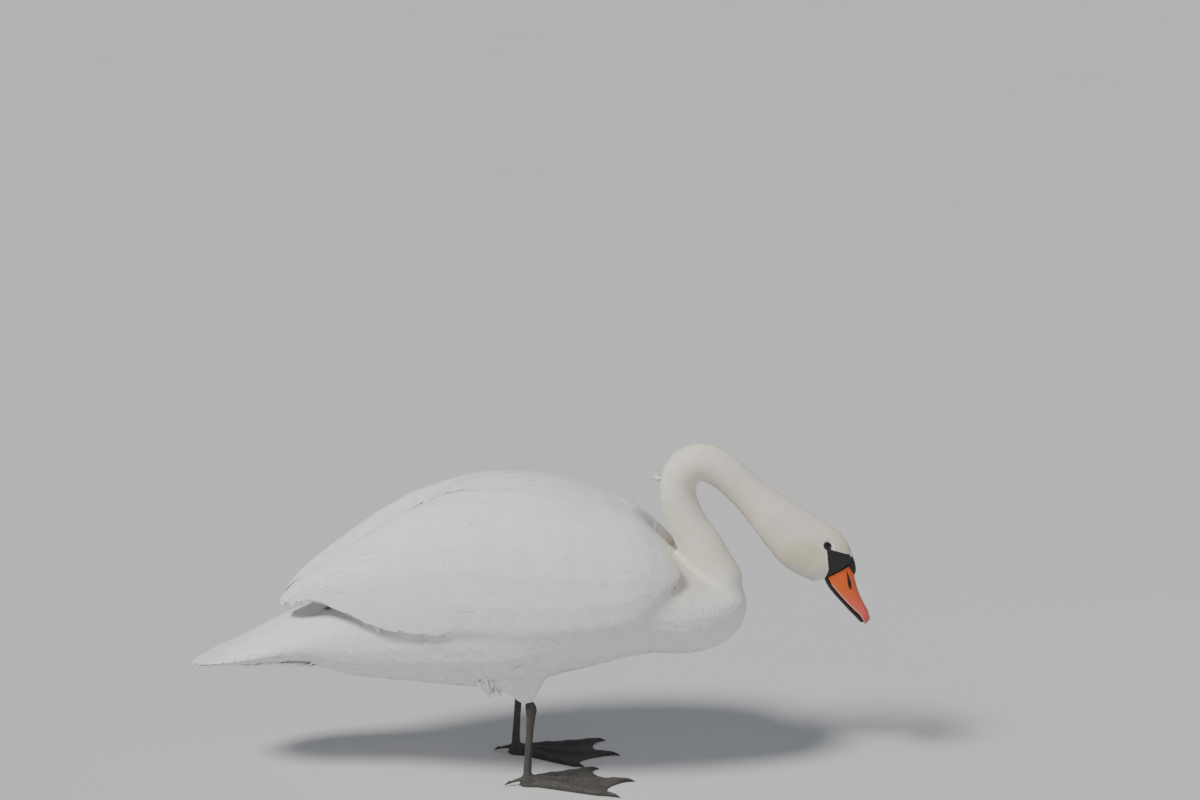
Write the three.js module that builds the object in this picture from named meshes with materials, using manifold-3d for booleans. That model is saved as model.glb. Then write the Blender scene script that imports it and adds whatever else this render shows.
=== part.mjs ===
// Mute swan at life size, standing with its neck arched and its bill lowered.
// Millimetres. +X points the way the bird faces, +Y to its left and +Z up, with the
// origin on the ground under the middle of the bird's length. The bird's two sides
// mirror each other, except that the left leg stands a short step behind the right.
import * as THREE from 'three';
import { LoftGeometry } from 'three/addons/geometries/LoftGeometry.js';
import { mergeVertices } from 'three/addons/utils/BufferGeometryUtils.js';
import Module from 'manifold-3d';

const wasm = await Module();
wasm.setup();

// ---------------------------------------------------------------- driving sizes

const GAP = 0.3; // clearance between neighbouring pieces
const RIGHT = -1; // sign of y on the bird's right
const LEFT = 1;

// Trunk and tail, at stations from the tail's tip to the breast: height of the back,
// half the width, height of the widest line, height of the underside, and how full the
// section is, where 2 is an ellipse.
const BODY = [
  { x: -468, back: 155, half: 5, middle: 153.5, under: 152, fullness: 1.7 },
  { x: -455, back: 160, half: 27, middle: 158, under: 154, fullness: 1.7 },
  { x: -430, back: 172, half: 50, middle: 166, under: 156.5, fullness: 1.7 },
  { x: -400, back: 188, half: 63, middle: 173, under: 158, fullness: 1.7 },
  { x: -362, back: 209, half: 70, middle: 181, under: 160, fullness: 1.8 },
  { x: -330, back: 225, half: 72, middle: 189, under: 161, fullness: 1.9 },
  { x: -300, back: 237, half: 76, middle: 197, under: 158, fullness: 2 },
  { x: -250, back: 264, half: 86, middle: 208, under: 143, fullness: 2.1 },
  { x: -200, back: 302, half: 99, middle: 219, under: 137, fullness: 2.1 },
  { x: -150, back: 345, half: 115, middle: 231, under: 134, fullness: 2.1 },
  { x: -100, back: 385, half: 128, middle: 243, under: 129, fullness: 2.15 },
  { x: -50, back: 406, half: 138, middle: 254, under: 128, fullness: 2.2 },
  { x: 0, back: 415, half: 144, middle: 263, under: 135, fullness: 2.25 },
  { x: 50, back: 408, half: 143, middle: 265, under: 150, fullness: 2.25 },
  { x: 100, back: 391, half: 137, middle: 262, under: 161, fullness: 2.2 },
  { x: 140, back: 370, half: 127, middle: 257, under: 171.5, fullness: 2.15 },
  { x: 170, back: 341, half: 116, middle: 251, under: 175.5, fullness: 2.1 },
  { x: 200, back: 313, half: 104, middle: 243, under: 173.5, fullness: 2.1 },
  { x: 250, back: 282, half: 94, middle: 243, under: 171, fullness: 2.1 },
  { x: 303, back: 275, half: 88, middle: 243, under: 170, fullness: 2.1 },
];
const BREAST_START = 200; // from here the body rounds off to the front of the breast
const BREAST_END = 303;
const BREAST_ROUND = 2.2; // how bluntly it does
const TAIL_CUT = -302; // plane where the tail parts from the trunk

// Folded wing, at stations from its tip to the shoulder: height its dome would reach
// over the spine, half the width over both wings, height of the widest line, height of
// the lower edge, distance of the upper edge from the spine, depth of the valley between
// the wings, distance of the crest from the spine, and thickness.
const WING = [
  { x: -340, dome: 251, half: 33, middle: 248, edge: 245, inner: 15, dip: 2, crest: 26, thick: 3 },
  { x: -320, dome: 278, half: 52, middle: 257, edge: 250, inner: 9, dip: 10, crest: 38, thick: 4 },
  { x: -290, dome: 305, half: 72, middle: 269, edge: 260, inner: 5, dip: 20, crest: 52, thick: 5 },
  { x: -250, dome: 336, half: 96, middle: 278, edge: 253, inner: 3, dip: 26, crest: 64, thick: 7 },
  { x: -200, dome: 371, half: 117, middle: 286, edge: 235, inner: 3, dip: 25, crest: 71, thick: 10 },
  { x: -150, dome: 397, half: 132, middle: 289, edge: 230, inner: 5, dip: 20, crest: 74, thick: 13 },
  { x: -100, dome: 415, half: 142, middle: 288, edge: 229, inner: 9, dip: 13, crest: 76, thick: 15 },
  { x: -50, dome: 421, half: 148, middle: 285, edge: 230, inner: 20, dip: 5, crest: 78, thick: 15 },
  { x: 0, dome: 420, half: 150, middle: 280, edge: 231, inner: 32, dip: 0, crest: 78, thick: 15 },
  { x: 50, dome: 412, half: 149, middle: 276, edge: 232, inner: 38, dip: 0, crest: 72, thick: 15 },
  { x: 100, dome: 395, half: 143, middle: 270, edge: 236, inner: 40, dip: 0, crest: 62, thick: 15 },
  { x: 150, dome: 375, half: 132, middle: 264, edge: 243, inner: 34, dip: 0, crest: 50, thick: 14 },
  { x: 190, dome: 346, half: 115, middle: 256, edge: 250, inner: 30, dip: 0, crest: 45, thick: 12 },
  { x: 220, dome: 322, half: 98, middle: 252, edge: 252, inner: 30, dip: 0, crest: 45, thick: 9 },
];
const WING_FULLNESS = 2.3;
const WING_FOOT = 125; // height where the wing's round side would close under the belly
const WING_TIP = -340;
const WING_FRONT = 150; // front end of the wing's upper and lower edges
const SHOULDER_REACH = 61; // how far the shoulder bulges forward of them
const SHOULDER_ROUND = 0.8; // the smaller, the squarer the shoulder
const WING_RIM = 2.4; // thickness along the edges
const BROW = { start: 0.9, inset: 0.35, thin: 0.6 }; // the shoulder's rounded front
const WING_STEPS = { along: 19, across: 8 };
const WING_CUT = { x: -196, z: 290, lean: 0.35 }; // plane where the wing's tip starts

// Neck: centreline x and z, with the radius in the middle, from its root to the nape.
const NECK = [
  [222, 46, 222], [246, 47, 245], [257, 42, 268], [249, 35, 291], [237, 31, 320],
  [222, 27, 347], [210.5, 25.2, 374], [205.5, 25, 402], [213, 26, 427], [236, 26.8, 438.5],
  [263, 26, 429], [291, 25, 405.5], [313, 27.2, 384.5], [331, 31, 367],
];
const NECK_ROUNDNESS = 0.95; // width of a neck ring over its depth
const NECK_CUT = 8 / 13; // share of the centreline, at the top of the arch

// Head: crown line as x, half the width, z, and throat line as x, height of the widest
// place above the throat as a share, z. Both run from the nape to the bill.
const CROWN = [
  [372, 30, 377], [390, 30.5, 365.5], [405.5, 30, 355.5], [419, 28.5, 346.5],
  [430.5, 26, 336.8], [439.5, 22.5, 325], [444.5, 19.5, 312.5], [446, 17, 299],
];
const THROAT = [
  [330.5, 0.5, 316.5], [344.5, 0.48, 299.5], [357.5, 0.46, 288.5], [370, 0.44, 281],
  [382, 0.42, 275], [392, 0.42, 270.5], [398.5, 0.43, 269.5], [402.5, 0.46, 272],
];
const HEAD_FULLNESS = 2.1;

// Bill: it has its own frame, with s from its base along its axis, y across and h up
// from the axis to the ridge.
const BILL_BASE = { x: 426, z: 288 };
const BILL_DROP = 61; // degrees below level
const BILL = [
  { s: 0.3, ridge: 20, half: 16.5, gape: -17 },
  { s: 12, ridge: 18, half: 16.2, gape: -17.8 },
  { s: 26, ridge: 13.8, half: 15.6, gape: -16 },
  { s: 44, ridge: 9.8, half: 14.8, gape: -12 },
  { s: 60, ridge: 8.8, half: 14, gape: -8.3 },
  { s: 72, ridge: 8.8, half: 13.4, gape: -5 },
  { s: 88, ridge: 6, half: 12.6, gape: -3.5 },
];
const BILL_TIP = 88;
const BILL_ROUND = 17; // length over which the tip rounds off
const BILL_THIN = 0.3; // height left at the very tip, as a share
const MANDIBLE_DEPTH = 5.6;
const LIP_GAP = 1.4; // between the upper bill's line and the top of the lower bill's side
const MANDIBLE_INSET = 1.6; // how far its side lies inside the upper bill's
const MANDIBLE_TIP = 84;
const KNOB = { s: 2, h: 17.5, long: 16, wide: 9, high: 6.8, turn: 8 };
const NAIL = { s: 88, h: 2, long: 11, wide: 7, high: 9 };
const NOSTRIL = { s: 19, h: 6.5, aside: 14.2, long: 13, wide: 3, high: 2.5, turn: 15 };

const EYE = { x: 408.6, y: 17.6, z: 324.5, radius: 8.2 };

// Legs: distance from the middle plane, and the step of each leg along x.
const LEG_SPREAD = 69;
const STEP = { right: 0, left: -20 };
// Feathered thigh: height, centre x, half-length and half-width of its sections.
const THIGH = [
  { z: 119, x: -1, long: 8.5, wide: 8 },
  { z: 122, x: -1, long: 10.5, wide: 9.5 },
  { z: 131, x: -6, long: 20, wide: 16 },
  { z: 143, x: -15, long: 36, wide: 26 },
  { z: 165, x: -20, long: 50, wide: 35 },
  { z: 205, x: -22, long: 52, wide: 38 },
];
// Bare shank from the foot to the feathers.
const SHANK = [
  { z: 14.3, x: 0, long: 6.8, wide: 6 },
  { z: 22, x: 0, long: 6, wide: 4.9 },
  { z: 38, x: 1, long: 5.2, wide: 4.1 },
  { z: 60, x: 2.4, long: 5, wide: 4 },
  { z: 85, x: 4.2, long: 5.4, wide: 4.3 },
  { z: 102, x: 5.6, long: 6.8, wide: 5.3 },
  { z: 111, x: 6, long: 7.8, wide: 6.4 },
  { z: 118.7, x: 3.5, long: 5.2, wide: 5.4 },
];
// Foot: lengths and directions of the toes, from the inner toe to the outer one.
const TOES = [
  { reach: 108, turn: -29 },
  { reach: 138, turn: 0 },
  { reach: 128, turn: 28 },
];
const TOE_IN = 5; // degrees that each foot points inward
const TOE_HALF = 5.5; // half a toe's width
const HEEL = 12; // reach of the sole behind the ankle
const ANKLE_TOP = 14;
const ANKLE_HALF = 6.5;
const FOOT_RINGS = [1, 0.86, 0.6, 0.34, 0.12]; // shares of the foot's reach
const WEB_THICK = 2;
const WEB_SCALLOP = { depth: 0.16, round: 0.7 }; // how the webs draw in between the toes
const TOE_TIP_HEIGHT = 4.4;
// Reach past the toe, height and radius along a claw; likewise from the ankle for the hind toe.
const CLAW = [[-9, 2.6, 2.4], [1, 3, 2.3], [6, 2, 1.5], [10, 0.7, 0.5]];
const HIND_TOE = [[4, 9, 4.2], [11, 9, 3.6], [20, 6.8, 2.7], [27, 4.6, 1.8], [31, 3, 0.6]];
const HIND_TOE_TURN = 172;
// Where the foot's outline is read: degrees outside the outer toes, shares of the way
// from one toe to the next, and directions round the heel.
const FRINGE = [3, 7, 18, 60];
const WEB_STEPS = [0, 0.08, 0.3, 0.5, 0.7, 0.92];
const HEEL_TURNS = [130, 180, 230];

// ---------------------------------------------------------------- helpers

const radians = THREE.MathUtils.degToRad;
const mix = THREE.MathUtils.lerp;
const point = (x, y, z) => new THREE.Vector3(x, y, z);
const signedPower = (value, power) => Math.sign(value) * Math.abs(value) ** power;
const evenly = (count, make) => Array.from({ length: count }, (_, i) => make(i / (count - 1)));
const around = (count, make) => Array.from({ length: count }, (_, i) => make((2 * Math.PI * i) / count));

// Reads a table of stations: each measure runs smoothly from one station to the next.
function readings(stations, key) {
  const places = stations.map((station) => station[key]);
  const names = Object.keys(stations[0]).filter((name) => name !== key);
  const curves = names.map((name) => {
    const values = stations.map((station) => station[name]);
    return new THREE.CubicInterpolant(places, values, 1);
  });
  return (place) => Object.fromEntries(names.map((name, i) => [name, curves[i].evaluate(place)[0]]));
}

// Turns a closed geometry into a solid whose faces point out.
function solid(geometry) {
  const bare = new THREE.BufferGeometry();
  bare.setAttribute('position', geometry.attributes.position);
  bare.setIndex(geometry.index);
  const merged = mergeVertices(bare, 1e-3);
  const places = merged.attributes.position;
  const corner = (index) => new THREE.Vector3().fromBufferAttribute(places, index);
  const faces = [];
  let volume = 0;
  for (let i = 0; i < merged.index.count; i += 3) {
    const [a, b, c] = [0, 1, 2].map((step) => merged.index.getX(i + step));
    if (a === b || b === c || c === a) continue;
    faces.push([a, b, c]);
    volume += corner(a).dot(corner(b).cross(corner(c)));
  }
  const outward = volume > 0 ? faces : faces.map(([a, b, c]) => [a, c, b]);
  return new wasm.Manifold(new wasm.Mesh({
    numProp: 3,
    vertProperties: new Float32Array(places.array),
    triVerts: new Uint32Array(outward.flat()),
  }));
}

// Skins a row of rings and closes each end with a fan round its middle.
function loft(rings) {
  const hub = (ring) => {
    const middle = ring.reduce((sum, place) => sum.add(place), point(0, 0, 0));
    return ring.map(() => middle.clone().divideScalar(ring.length));
  };
  const closed = [hub(rings[0]), ...rings, hub(rings[rings.length - 1])];
  return solid(new LoftGeometry(closed));
}

// Puts a solid into the scene as a named mesh.
function piece(name, body, material) {
  const { vertProperties, triVerts } = body.getMesh();
  const geometry = new THREE.BufferGeometry();
  geometry.setAttribute('position', new THREE.BufferAttribute(new Float32Array(vertProperties), 3));
  geometry.setIndex(new THREE.BufferAttribute(new Uint32Array(triVerts), 1));
  geometry.computeVertexNormals();
  const mesh = new THREE.Mesh(geometry, material);
  mesh.name = name;
  return mesh;
}

// Stations that crowd together towards an end that rounds off, without its start.
function rounding(count, start, end) {
  const closest = 0.98;
  const shares = evenly(count, (share) => Math.sin((share * closest * Math.PI) / 2));
  return shares.slice(1).map((share) => mix(start, end, share));
}

function ellipsoid(long, wide, high, segments = 12) {
  return new THREE.SphereGeometry(1, segments, segments / 2).scale(long, wide, high);
}

// Keeps the part of a solid on one side of a plane, half a gap away from it.
function beyond(body, normal, place) {
  const unit = normal.clone().normalize();
  return body.trimByPlane(unit.toArray(), unit.dot(place) + GAP / 2);
}

// ---------------------------------------------------------------- trunk and tail

const bodyAt = readings(BODY, 'x');

// One ring of the body at x, swollen outwards by grow.
function bodyRing(x, sides, grow = 0) {
  const at = bodyAt(x);
  const reach = Math.max(0, (x - BREAST_START) / (BREAST_END - BREAST_START));
  const round = (1 - reach ** BREAST_ROUND) ** (1 / BREAST_ROUND);
  const power = 2 / at.fullness;
  return around(sides, (angle) => {
    const rise = Math.sin(angle) > 0 ? at.back - at.middle : at.middle - at.under;
    return point(
      x,
      (at.half * round + grow) * signedPower(Math.cos(angle), power),
      at.middle + (rise * round + grow) * signedPower(Math.sin(angle), power),
    );
  });
}

function bodySolid(grow = 0) {
  const straight = evenly(25, (share) => mix(BODY[0].x - grow, BREAST_START, share));
  const stations = [...straight, ...rounding(8, BREAST_START, BREAST_END)];
  return loft(stations.map((x) => bodyRing(x, 26, grow)));
}

// ---------------------------------------------------------------- wings

const wingAt = readings(WING, 'x');

// A place on the folded wing: along runs from the tip to the shoulder, across from the
// lower edge to the upper one, and depth goes in from the outer face to the inner one.
function wingPlace(along, across, depth, side) {
  const front = WING_FRONT + SHOULDER_REACH * Math.sin(Math.PI * across) ** SHOULDER_ROUND;
  const x = mix(WING_TIP, front, along);
  const at = wingAt(x);
  const power = 2 / WING_FULLNESS;
  const hang = Math.max(0, at.middle - at.edge) / (at.middle - WING_FOOT);
  const lowest = -Math.asin(hang ** (1 / power));
  const highest = Math.acos((at.inner / at.half) ** (1 / power));
  const angle = mix(lowest, highest, across);
  const rise = angle > 0 ? at.dome - at.middle : at.middle - WING_FOOT;
  const outward = point(0, Math.cos(angle) / at.half, Math.sin(angle) / rise).normalize();
  const y = at.half * Math.cos(angle) ** power;
  const valley = at.dip * (1 - THREE.MathUtils.smoothstep(y, 0, at.crest));
  const z = at.middle + rise * signedPower(Math.sin(angle), power) - valley;
  const swell = Math.sqrt(Math.sin(Math.PI * across));
  const brow = Math.max(0, (along - BROW.start) / (1 - BROW.start)) ** 2;
  const thick = WING_RIM + (at.thick - WING_RIM) * swell * (1 - BROW.thin * brow);
  const inset = BROW.inset * at.thick * brow * swell + depth * thick;
  return point(x, side * (y - inset * outward.y), z - inset * outward.z);
}

// The wing is a shell: each ring goes up its outer face and down its inner one, and
// both ends close along the middle of the shell, just past the last rings.
function wingSolid(side, grow = 0) {
  const crowding = 1.15;
  const past = 0.007 + grow / 20;
  const ring = (along, start, end) => [
    ...evenly(WING_STEPS.across, (share) => wingPlace(along, share, start, side)),
    ...evenly(WING_STEPS.across, (share) => wingPlace(along, 1 - share, end, side)),
  ];
  const shares = evenly(WING_STEPS.along, (share) => 1 - (1 - share) ** crowding);
  const rings = shares.map((share) => ring(share, -grow, 1 + grow));
  return solid(new LoftGeometry([ring(-past, 0.5, 0.5), ...rings, ring(1 + past, 0.5, 0.5)]));
}

// ---------------------------------------------------------------- neck and head

const neckLine = new THREE.CatmullRomCurve3(NECK.map(([x, radius, z]) => point(x, radius, z)));

function neckAt(share) {
  const { x, y: radius, z } = neckLine.getPoint(share);
  const step = 1e-3;
  const ahead = neckLine.getPoint(Math.min(1, share + step));
  const behind = neckLine.getPoint(Math.max(0, share - step));
  const along = point(ahead.x - behind.x, 0, ahead.z - behind.z).normalize();
  return { centre: point(x, 0, z), radius, along, outer: point(-along.z, 0, along.x) };
}

function neckSolid(start, end, rings) {
  return loft(evenly(rings, (share) => {
    const at = neckAt(mix(start, end, share));
    return around(20, (angle) => at.centre.clone()
      .addScaledVector(at.outer, at.radius * Math.cos(angle))
      .add(point(0, at.radius * NECK_ROUNDNESS * Math.sin(angle), 0)));
  }));
}

const nape = neckAt(1);
const napeHalf = nape.radius * NECK_ROUNDNESS;
const napeTop = nape.centre.clone().addScaledVector(nape.outer, nape.radius).setY(napeHalf);
const napeLow = nape.centre.clone().addScaledVector(nape.outer, -nape.radius).setY(0.5);
const crownLine = new THREE.CatmullRomCurve3([napeTop, ...CROWN.map((place) => point(...place))]);
const throatLine = new THREE.CatmullRomCurve3([napeLow, ...THROAT.map((place) => point(...place))]);

function headRing(share, sides) {
  const top = crownLine.getPoint(share);
  const low = throatLine.getPoint(share);
  const half = top.y;
  const widest = low.y;
  const up = point(top.x - low.x, 0, top.z - low.z);
  const power = 2 / HEAD_FULLNESS;
  return around(sides, (angle) => {
    const height = Math.sin(angle) > 0 ? 1 - widest : widest;
    const rise = widest + height * signedPower(Math.sin(angle), power);
    const y = half * signedPower(Math.cos(angle), power);
    return point(low.x + up.x * rise, y, low.z + up.z * rise);
  });
}

// ---------------------------------------------------------------- bill

const billPlace = new THREE.Matrix4()
  .makeRotationY(radians(BILL_DROP))
  .setPosition(BILL_BASE.x, 0, BILL_BASE.z);
const billAt = readings(BILL, 's');

// Stations along the bill, closer together where its tip rounds off.
function billStations(tip) {
  const straight = evenly(7, (share) => mix(BILL[0].s, tip - BILL_ROUND, share));
  return [...straight, ...rounding(5, tip - BILL_ROUND, tip)];
}

// Share of the full width left at s, down to a blunt tip.
function billRound(s, tip) {
  const reach = Math.max(0, (s - tip + BILL_ROUND) / BILL_ROUND);
  return Math.max(0.08, (1 - reach ** 2.4) ** (1 / 2.2));
}

function billLoft(tip, makePlace, sides) {
  return loft(billStations(tip).map((s) => {
    const round = billRound(s, tip);
    const high = Math.max(BILL_THIN, round ** 0.7);
    return around(sides, (angle) => makePlace(billAt(s), round, high, angle, s).applyMatrix4(billPlace));
  }));
}

// The upper bill arches over a nearly flat underside.
function upperBill() {
  return billLoft(BILL_TIP, (at, round, high, angle, s) => {
    const swing = Math.sin(angle);
    const rise = swing > 0 ? (at.ridge - at.gape) * high * swing ** 0.9 : 0.5 * swing;
    return point(s, at.half * round * signedPower(Math.cos(angle), 0.85), at.gape + rise);
  }, 16);
}

// The lower bill is a shallow trough that follows the line of the gape.
function lowerBill() {
  return billLoft(MANDIBLE_TIP, (at, round, high, angle, s) => {
    const swing = Math.sin(angle);
    const drop = swing < 0 ? MANDIBLE_DEPTH * high * swing : 0.4 * swing;
    const half = (at.half - MANDIBLE_INSET) * round;
    return point(s, half * signedPower(Math.cos(angle), 0.9), at.gape - LIP_GAP + drop);
  }, 12);
}

// An ellipsoid in the bill's frame, with its front end lowered by turn degrees.
function billBulge({ s, h, long, wide, high, turn = 0 }, y = 0, grow = 0, segments = 12) {
  const shape = ellipsoid(long + grow, wide + grow, high + grow, segments);
  return solid(shape.rotateY(radians(turn)).translate(s, y, h).applyMatrix4(billPlace));
}

// ---------------------------------------------------------------- legs and feet

function legLoft(stations, x, y, rings, sides) {
  const legAt = readings(stations, 'z');
  const bottom = stations[0].z;
  const top = stations[stations.length - 1].z;
  return loft(evenly(rings, (share) => {
    const z = mix(bottom, top, share);
    const at = legAt(z);
    return around(sides, (angle) => point(
      x + at.x + at.long * Math.cos(angle),
      y + at.wide * Math.sin(angle),
      z,
    ));
  }));
}

// Reach of the foot's edge in a direction, in degrees: full at each toe, drawn in along
// the webs between them and rounded behind the heel.
function soleReach(degrees) {
  const [inner, middle, outer] = TOES;
  if (degrees < inner.turn || degrees > outer.turn) {
    const toe = degrees < inner.turn ? inner : outer;
    const away = radians(Math.min(90, Math.abs(degrees - toe.turn)));
    const beside = TOE_HALF / Math.max(Math.sin(away), TOE_HALF / toe.reach);
    return Math.max(HEEL, Math.min(toe.reach, beside));
  }
  const [from, to] = degrees < middle.turn ? [inner, middle] : [middle, outer];
  const share = (degrees - from.turn) / (to.turn - from.turn);
  const scallop = WEB_SCALLOP.depth * Math.sin(Math.PI * share) ** WEB_SCALLOP.round;
  return mix(from.reach, to.reach, share) * (1 - scallop);
}

// Height of the foot's top at a place, with a ridge along each toe.
function footHeight(degrees, reach, share) {
  const ridges = TOES.map((toe) => {
    const away = radians(Math.min(80, Math.abs(degrees - toe.turn)));
    const aside = reach * share * Math.sin(away);
    const height = mix(ANKLE_TOP - WEB_THICK, TOE_TIP_HEIGHT, Math.min(1, share * 1.25));
    return height * Math.exp(-((aside / TOE_HALF) ** 2));
  });
  return WEB_THICK + Math.max(...ridges);
}

function footDirections() {
  const [inner, middle, outer] = TOES;
  return [
    ...FRINGE.map((away) => inner.turn - away).reverse(),
    ...WEB_STEPS.map((share) => mix(inner.turn, middle.turn, share)),
    ...WEB_STEPS.map((share) => mix(middle.turn, outer.turn, share)),
    outer.turn,
    ...FRINGE.map((away) => outer.turn + away),
    ...HEEL_TURNS,
  ];
}

// A tapering toe or claw through a few places, as x, z and radius, in direction turn.
function spur(places, turn) {
  const heading = radians(turn);
  return loft(places.map(([reach, z, radius]) => around(6, (angle) => {
    const aside = radius * Math.cos(angle);
    return point(
      reach * Math.cos(heading) - aside * Math.sin(heading),
      reach * Math.sin(heading) + aside * Math.cos(heading),
      Math.max(0, z + radius * Math.sin(angle)),
    );
  })));
}

// The foot rises from its flat sole in shrinking rings to the ankle's flat top.
function footSolid(x, side) {
  const directions = footDirections();
  const polar = (degrees, reach, z) => {
    const turn = radians(degrees);
    return point(reach * Math.cos(turn), reach * Math.sin(turn), z);
  };
  const ring = (share, flat) => directions.map((degrees) => {
    const reach = soleReach(degrees);
    const height = flat ? 0 : footHeight(degrees, reach, share);
    return polar(degrees, mix(ANKLE_HALF + 1, reach, share), height);
  });
  const ankle = directions.map((degrees) => polar(degrees, ANKLE_HALF, ANKLE_TOP));
  const rises = FOOT_RINGS.map((share) => ring(share, false));
  const web = loft([ring(1, true), ...rises, ankle]);
  const claws = TOES.map(({ reach, turn }) => {
    return spur(CLAW.map(([past, z, radius]) => [reach + past, z, radius]), turn);
  });
  const leftFoot = [...claws, spur(HIND_TOE, HIND_TOE_TURN)].reduce((foot, part) => foot.add(part), web);
  return (side === LEFT ? leftFoot : leftFoot.mirror([0, 1, 0]))
    .rotate([0, 0, -side * TOE_IN])
    .translate([x, side * LEG_SPREAD, 0]);
}

// ---------------------------------------------------------------- the bird

const finish = (color, roughness) => new THREE.MeshStandardMaterial({ color, roughness, metalness: 0 });
const plumage = finish(0xf3f3f0, 0.85);
const headPlumage = finish(0xe9e2cc, 0.85);
const orangeBill = finish(0xd96b35, 0.45);
const blackHorn = finish(0x1c1b1c, 0.5);
const eyeGloss = finish(0x140f0d, 0.1);
const greySkin = finish(0x35363a, 0.6);

const bird = new THREE.Group();
const sides = [['right', RIGHT], ['left', LEFT]];

const body = bodySolid();
const grownBody = bodySolid(GAP);
const wings = sides.map(([, side]) => wingSolid(side));
const grownWings = sides.map(([, side]) => wingSolid(side, 0.06));

const wingless = grownWings.reduce((rest, wing) => rest.subtract(wing), body);
const rump = point(TAIL_CUT, 0, 0);
const backward = point(-1, 0, 0);
bird.add(piece('trunk', beyond(wingless, point(1, 0, 0), rump), plumage));
bird.add(piece('tail', beyond(wingless, backward, rump), plumage));

const featherLine = point(1, 0, WING_CUT.lean);
sides.forEach(([name], i) => {
  const place = point(WING_CUT.x, 0, WING_CUT.z);
  bird.add(piece(`wing_${name}`, beyond(wings[i], featherLine, place), plumage));
  bird.add(piece(`wing_tip_${name}`, beyond(wings[i], featherLine.clone().negate(), place), plumage));
});

const arch = neckAt(NECK_CUT);
const lowerNeck = beyond(neckSolid(0, NECK_CUT + 0.02, 16), arch.along.clone().negate(), arch.centre);
const upperNeck = beyond(neckSolid(NECK_CUT - 0.02, 1, 13), arch.along, arch.centre);
const clearLowerNeck = [grownBody, ...grownWings].reduce((rest, part) => rest.subtract(part), lowerNeck);
bird.add(piece('neck_lower', clearLowerNeck, plumage));
bird.add(piece('neck_upper', beyond(upperNeck, nape.along.clone().negate(), nape.centre), headPlumage));

const knob = billBulge(KNOB);
const billRoot = point(0, 0, 0).applyMatrix4(billPlace);
const billAxis = point(1, 0, 0).applyMatrix4(billPlace).sub(billRoot);
const eyeball = (side, radius) => solid(
  ellipsoid(radius, radius, radius).translate(EYE.x, side * EYE.y, EYE.z),
);
const eyeSockets = sides.map(([, side]) => eyeball(side, EYE.radius + GAP));
const fullHead = loft(evenly(14, (share) => headRing(share, 22)));
const head = [...eyeSockets, billBulge(KNOB, 0, GAP)].reduce(
  (rest, hollow) => rest.subtract(hollow),
  beyond(beyond(fullHead, nape.along, nape.centre), billAxis.clone().negate(), billRoot),
);
bird.add(piece('head', head, headPlumage));
sides.forEach(([name, side]) => bird.add(piece(`eye_${name}`, eyeball(side, EYE.radius), eyeGloss)));

const nostrils = sides.map(([, side]) => billBulge(NOSTRIL, side * NOSTRIL.aside, 0, 8));
const fullBill = beyond(upperBill(), billAxis, billRoot);
const upper = [...nostrils, billBulge(KNOB, 0, GAP), billBulge(NAIL, 0, GAP)].reduce(
  (rest, hollow) => rest.subtract(hollow),
  fullBill,
);
bird.add(piece('bill_upper', upper, orangeBill));
bird.add(piece('bill_nail', fullBill.intersect(billBulge(NAIL)), blackHorn));
bird.add(piece('bill_knob', knob, blackHorn));
bird.add(piece('bill_lower', lowerBill(), blackHorn));

sides.forEach(([name, side]) => {
  const x = STEP[name];
  const y = side * LEG_SPREAD;
  const thigh = legLoft(THIGH, x, y, 9, 18).subtract(grownBody);
  bird.add(piece(`thigh_${name}`, thigh, plumage));
  bird.add(piece(`shank_${name}`, legLoft(SHANK, x, y, 10, 10), greySkin));
  bird.add(piece(`foot_${name}`, footSolid(x, side), greySkin));
});

export default bird;
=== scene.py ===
"""Mute swan, standing with its neck arched: skin, plumage, bill, eyes and legs.

Metres, in the frame's axes: x forward, y to the bird's left, z up from the floor.
"""
import math

import bpy
import numpy as np
from mathutils.bvhtree import BVHTree
from mathutils.kdtree import KDTree
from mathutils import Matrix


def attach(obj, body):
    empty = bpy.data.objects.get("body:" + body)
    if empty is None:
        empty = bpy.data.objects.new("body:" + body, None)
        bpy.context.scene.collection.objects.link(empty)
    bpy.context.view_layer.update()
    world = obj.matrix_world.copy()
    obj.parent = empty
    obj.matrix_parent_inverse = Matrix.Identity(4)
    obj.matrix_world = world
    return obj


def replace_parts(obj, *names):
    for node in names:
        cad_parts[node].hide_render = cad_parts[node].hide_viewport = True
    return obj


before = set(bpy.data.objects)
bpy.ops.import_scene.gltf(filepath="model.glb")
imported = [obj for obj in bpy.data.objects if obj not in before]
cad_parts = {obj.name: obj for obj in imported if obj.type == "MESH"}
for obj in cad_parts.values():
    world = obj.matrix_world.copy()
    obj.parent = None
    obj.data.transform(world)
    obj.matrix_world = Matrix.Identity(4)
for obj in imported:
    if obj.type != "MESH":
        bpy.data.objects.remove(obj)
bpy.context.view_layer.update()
random = np.random.default_rng(20)
MM = 0.001

# ---------------------------------------------------------------- sizes shared with the solids

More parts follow.
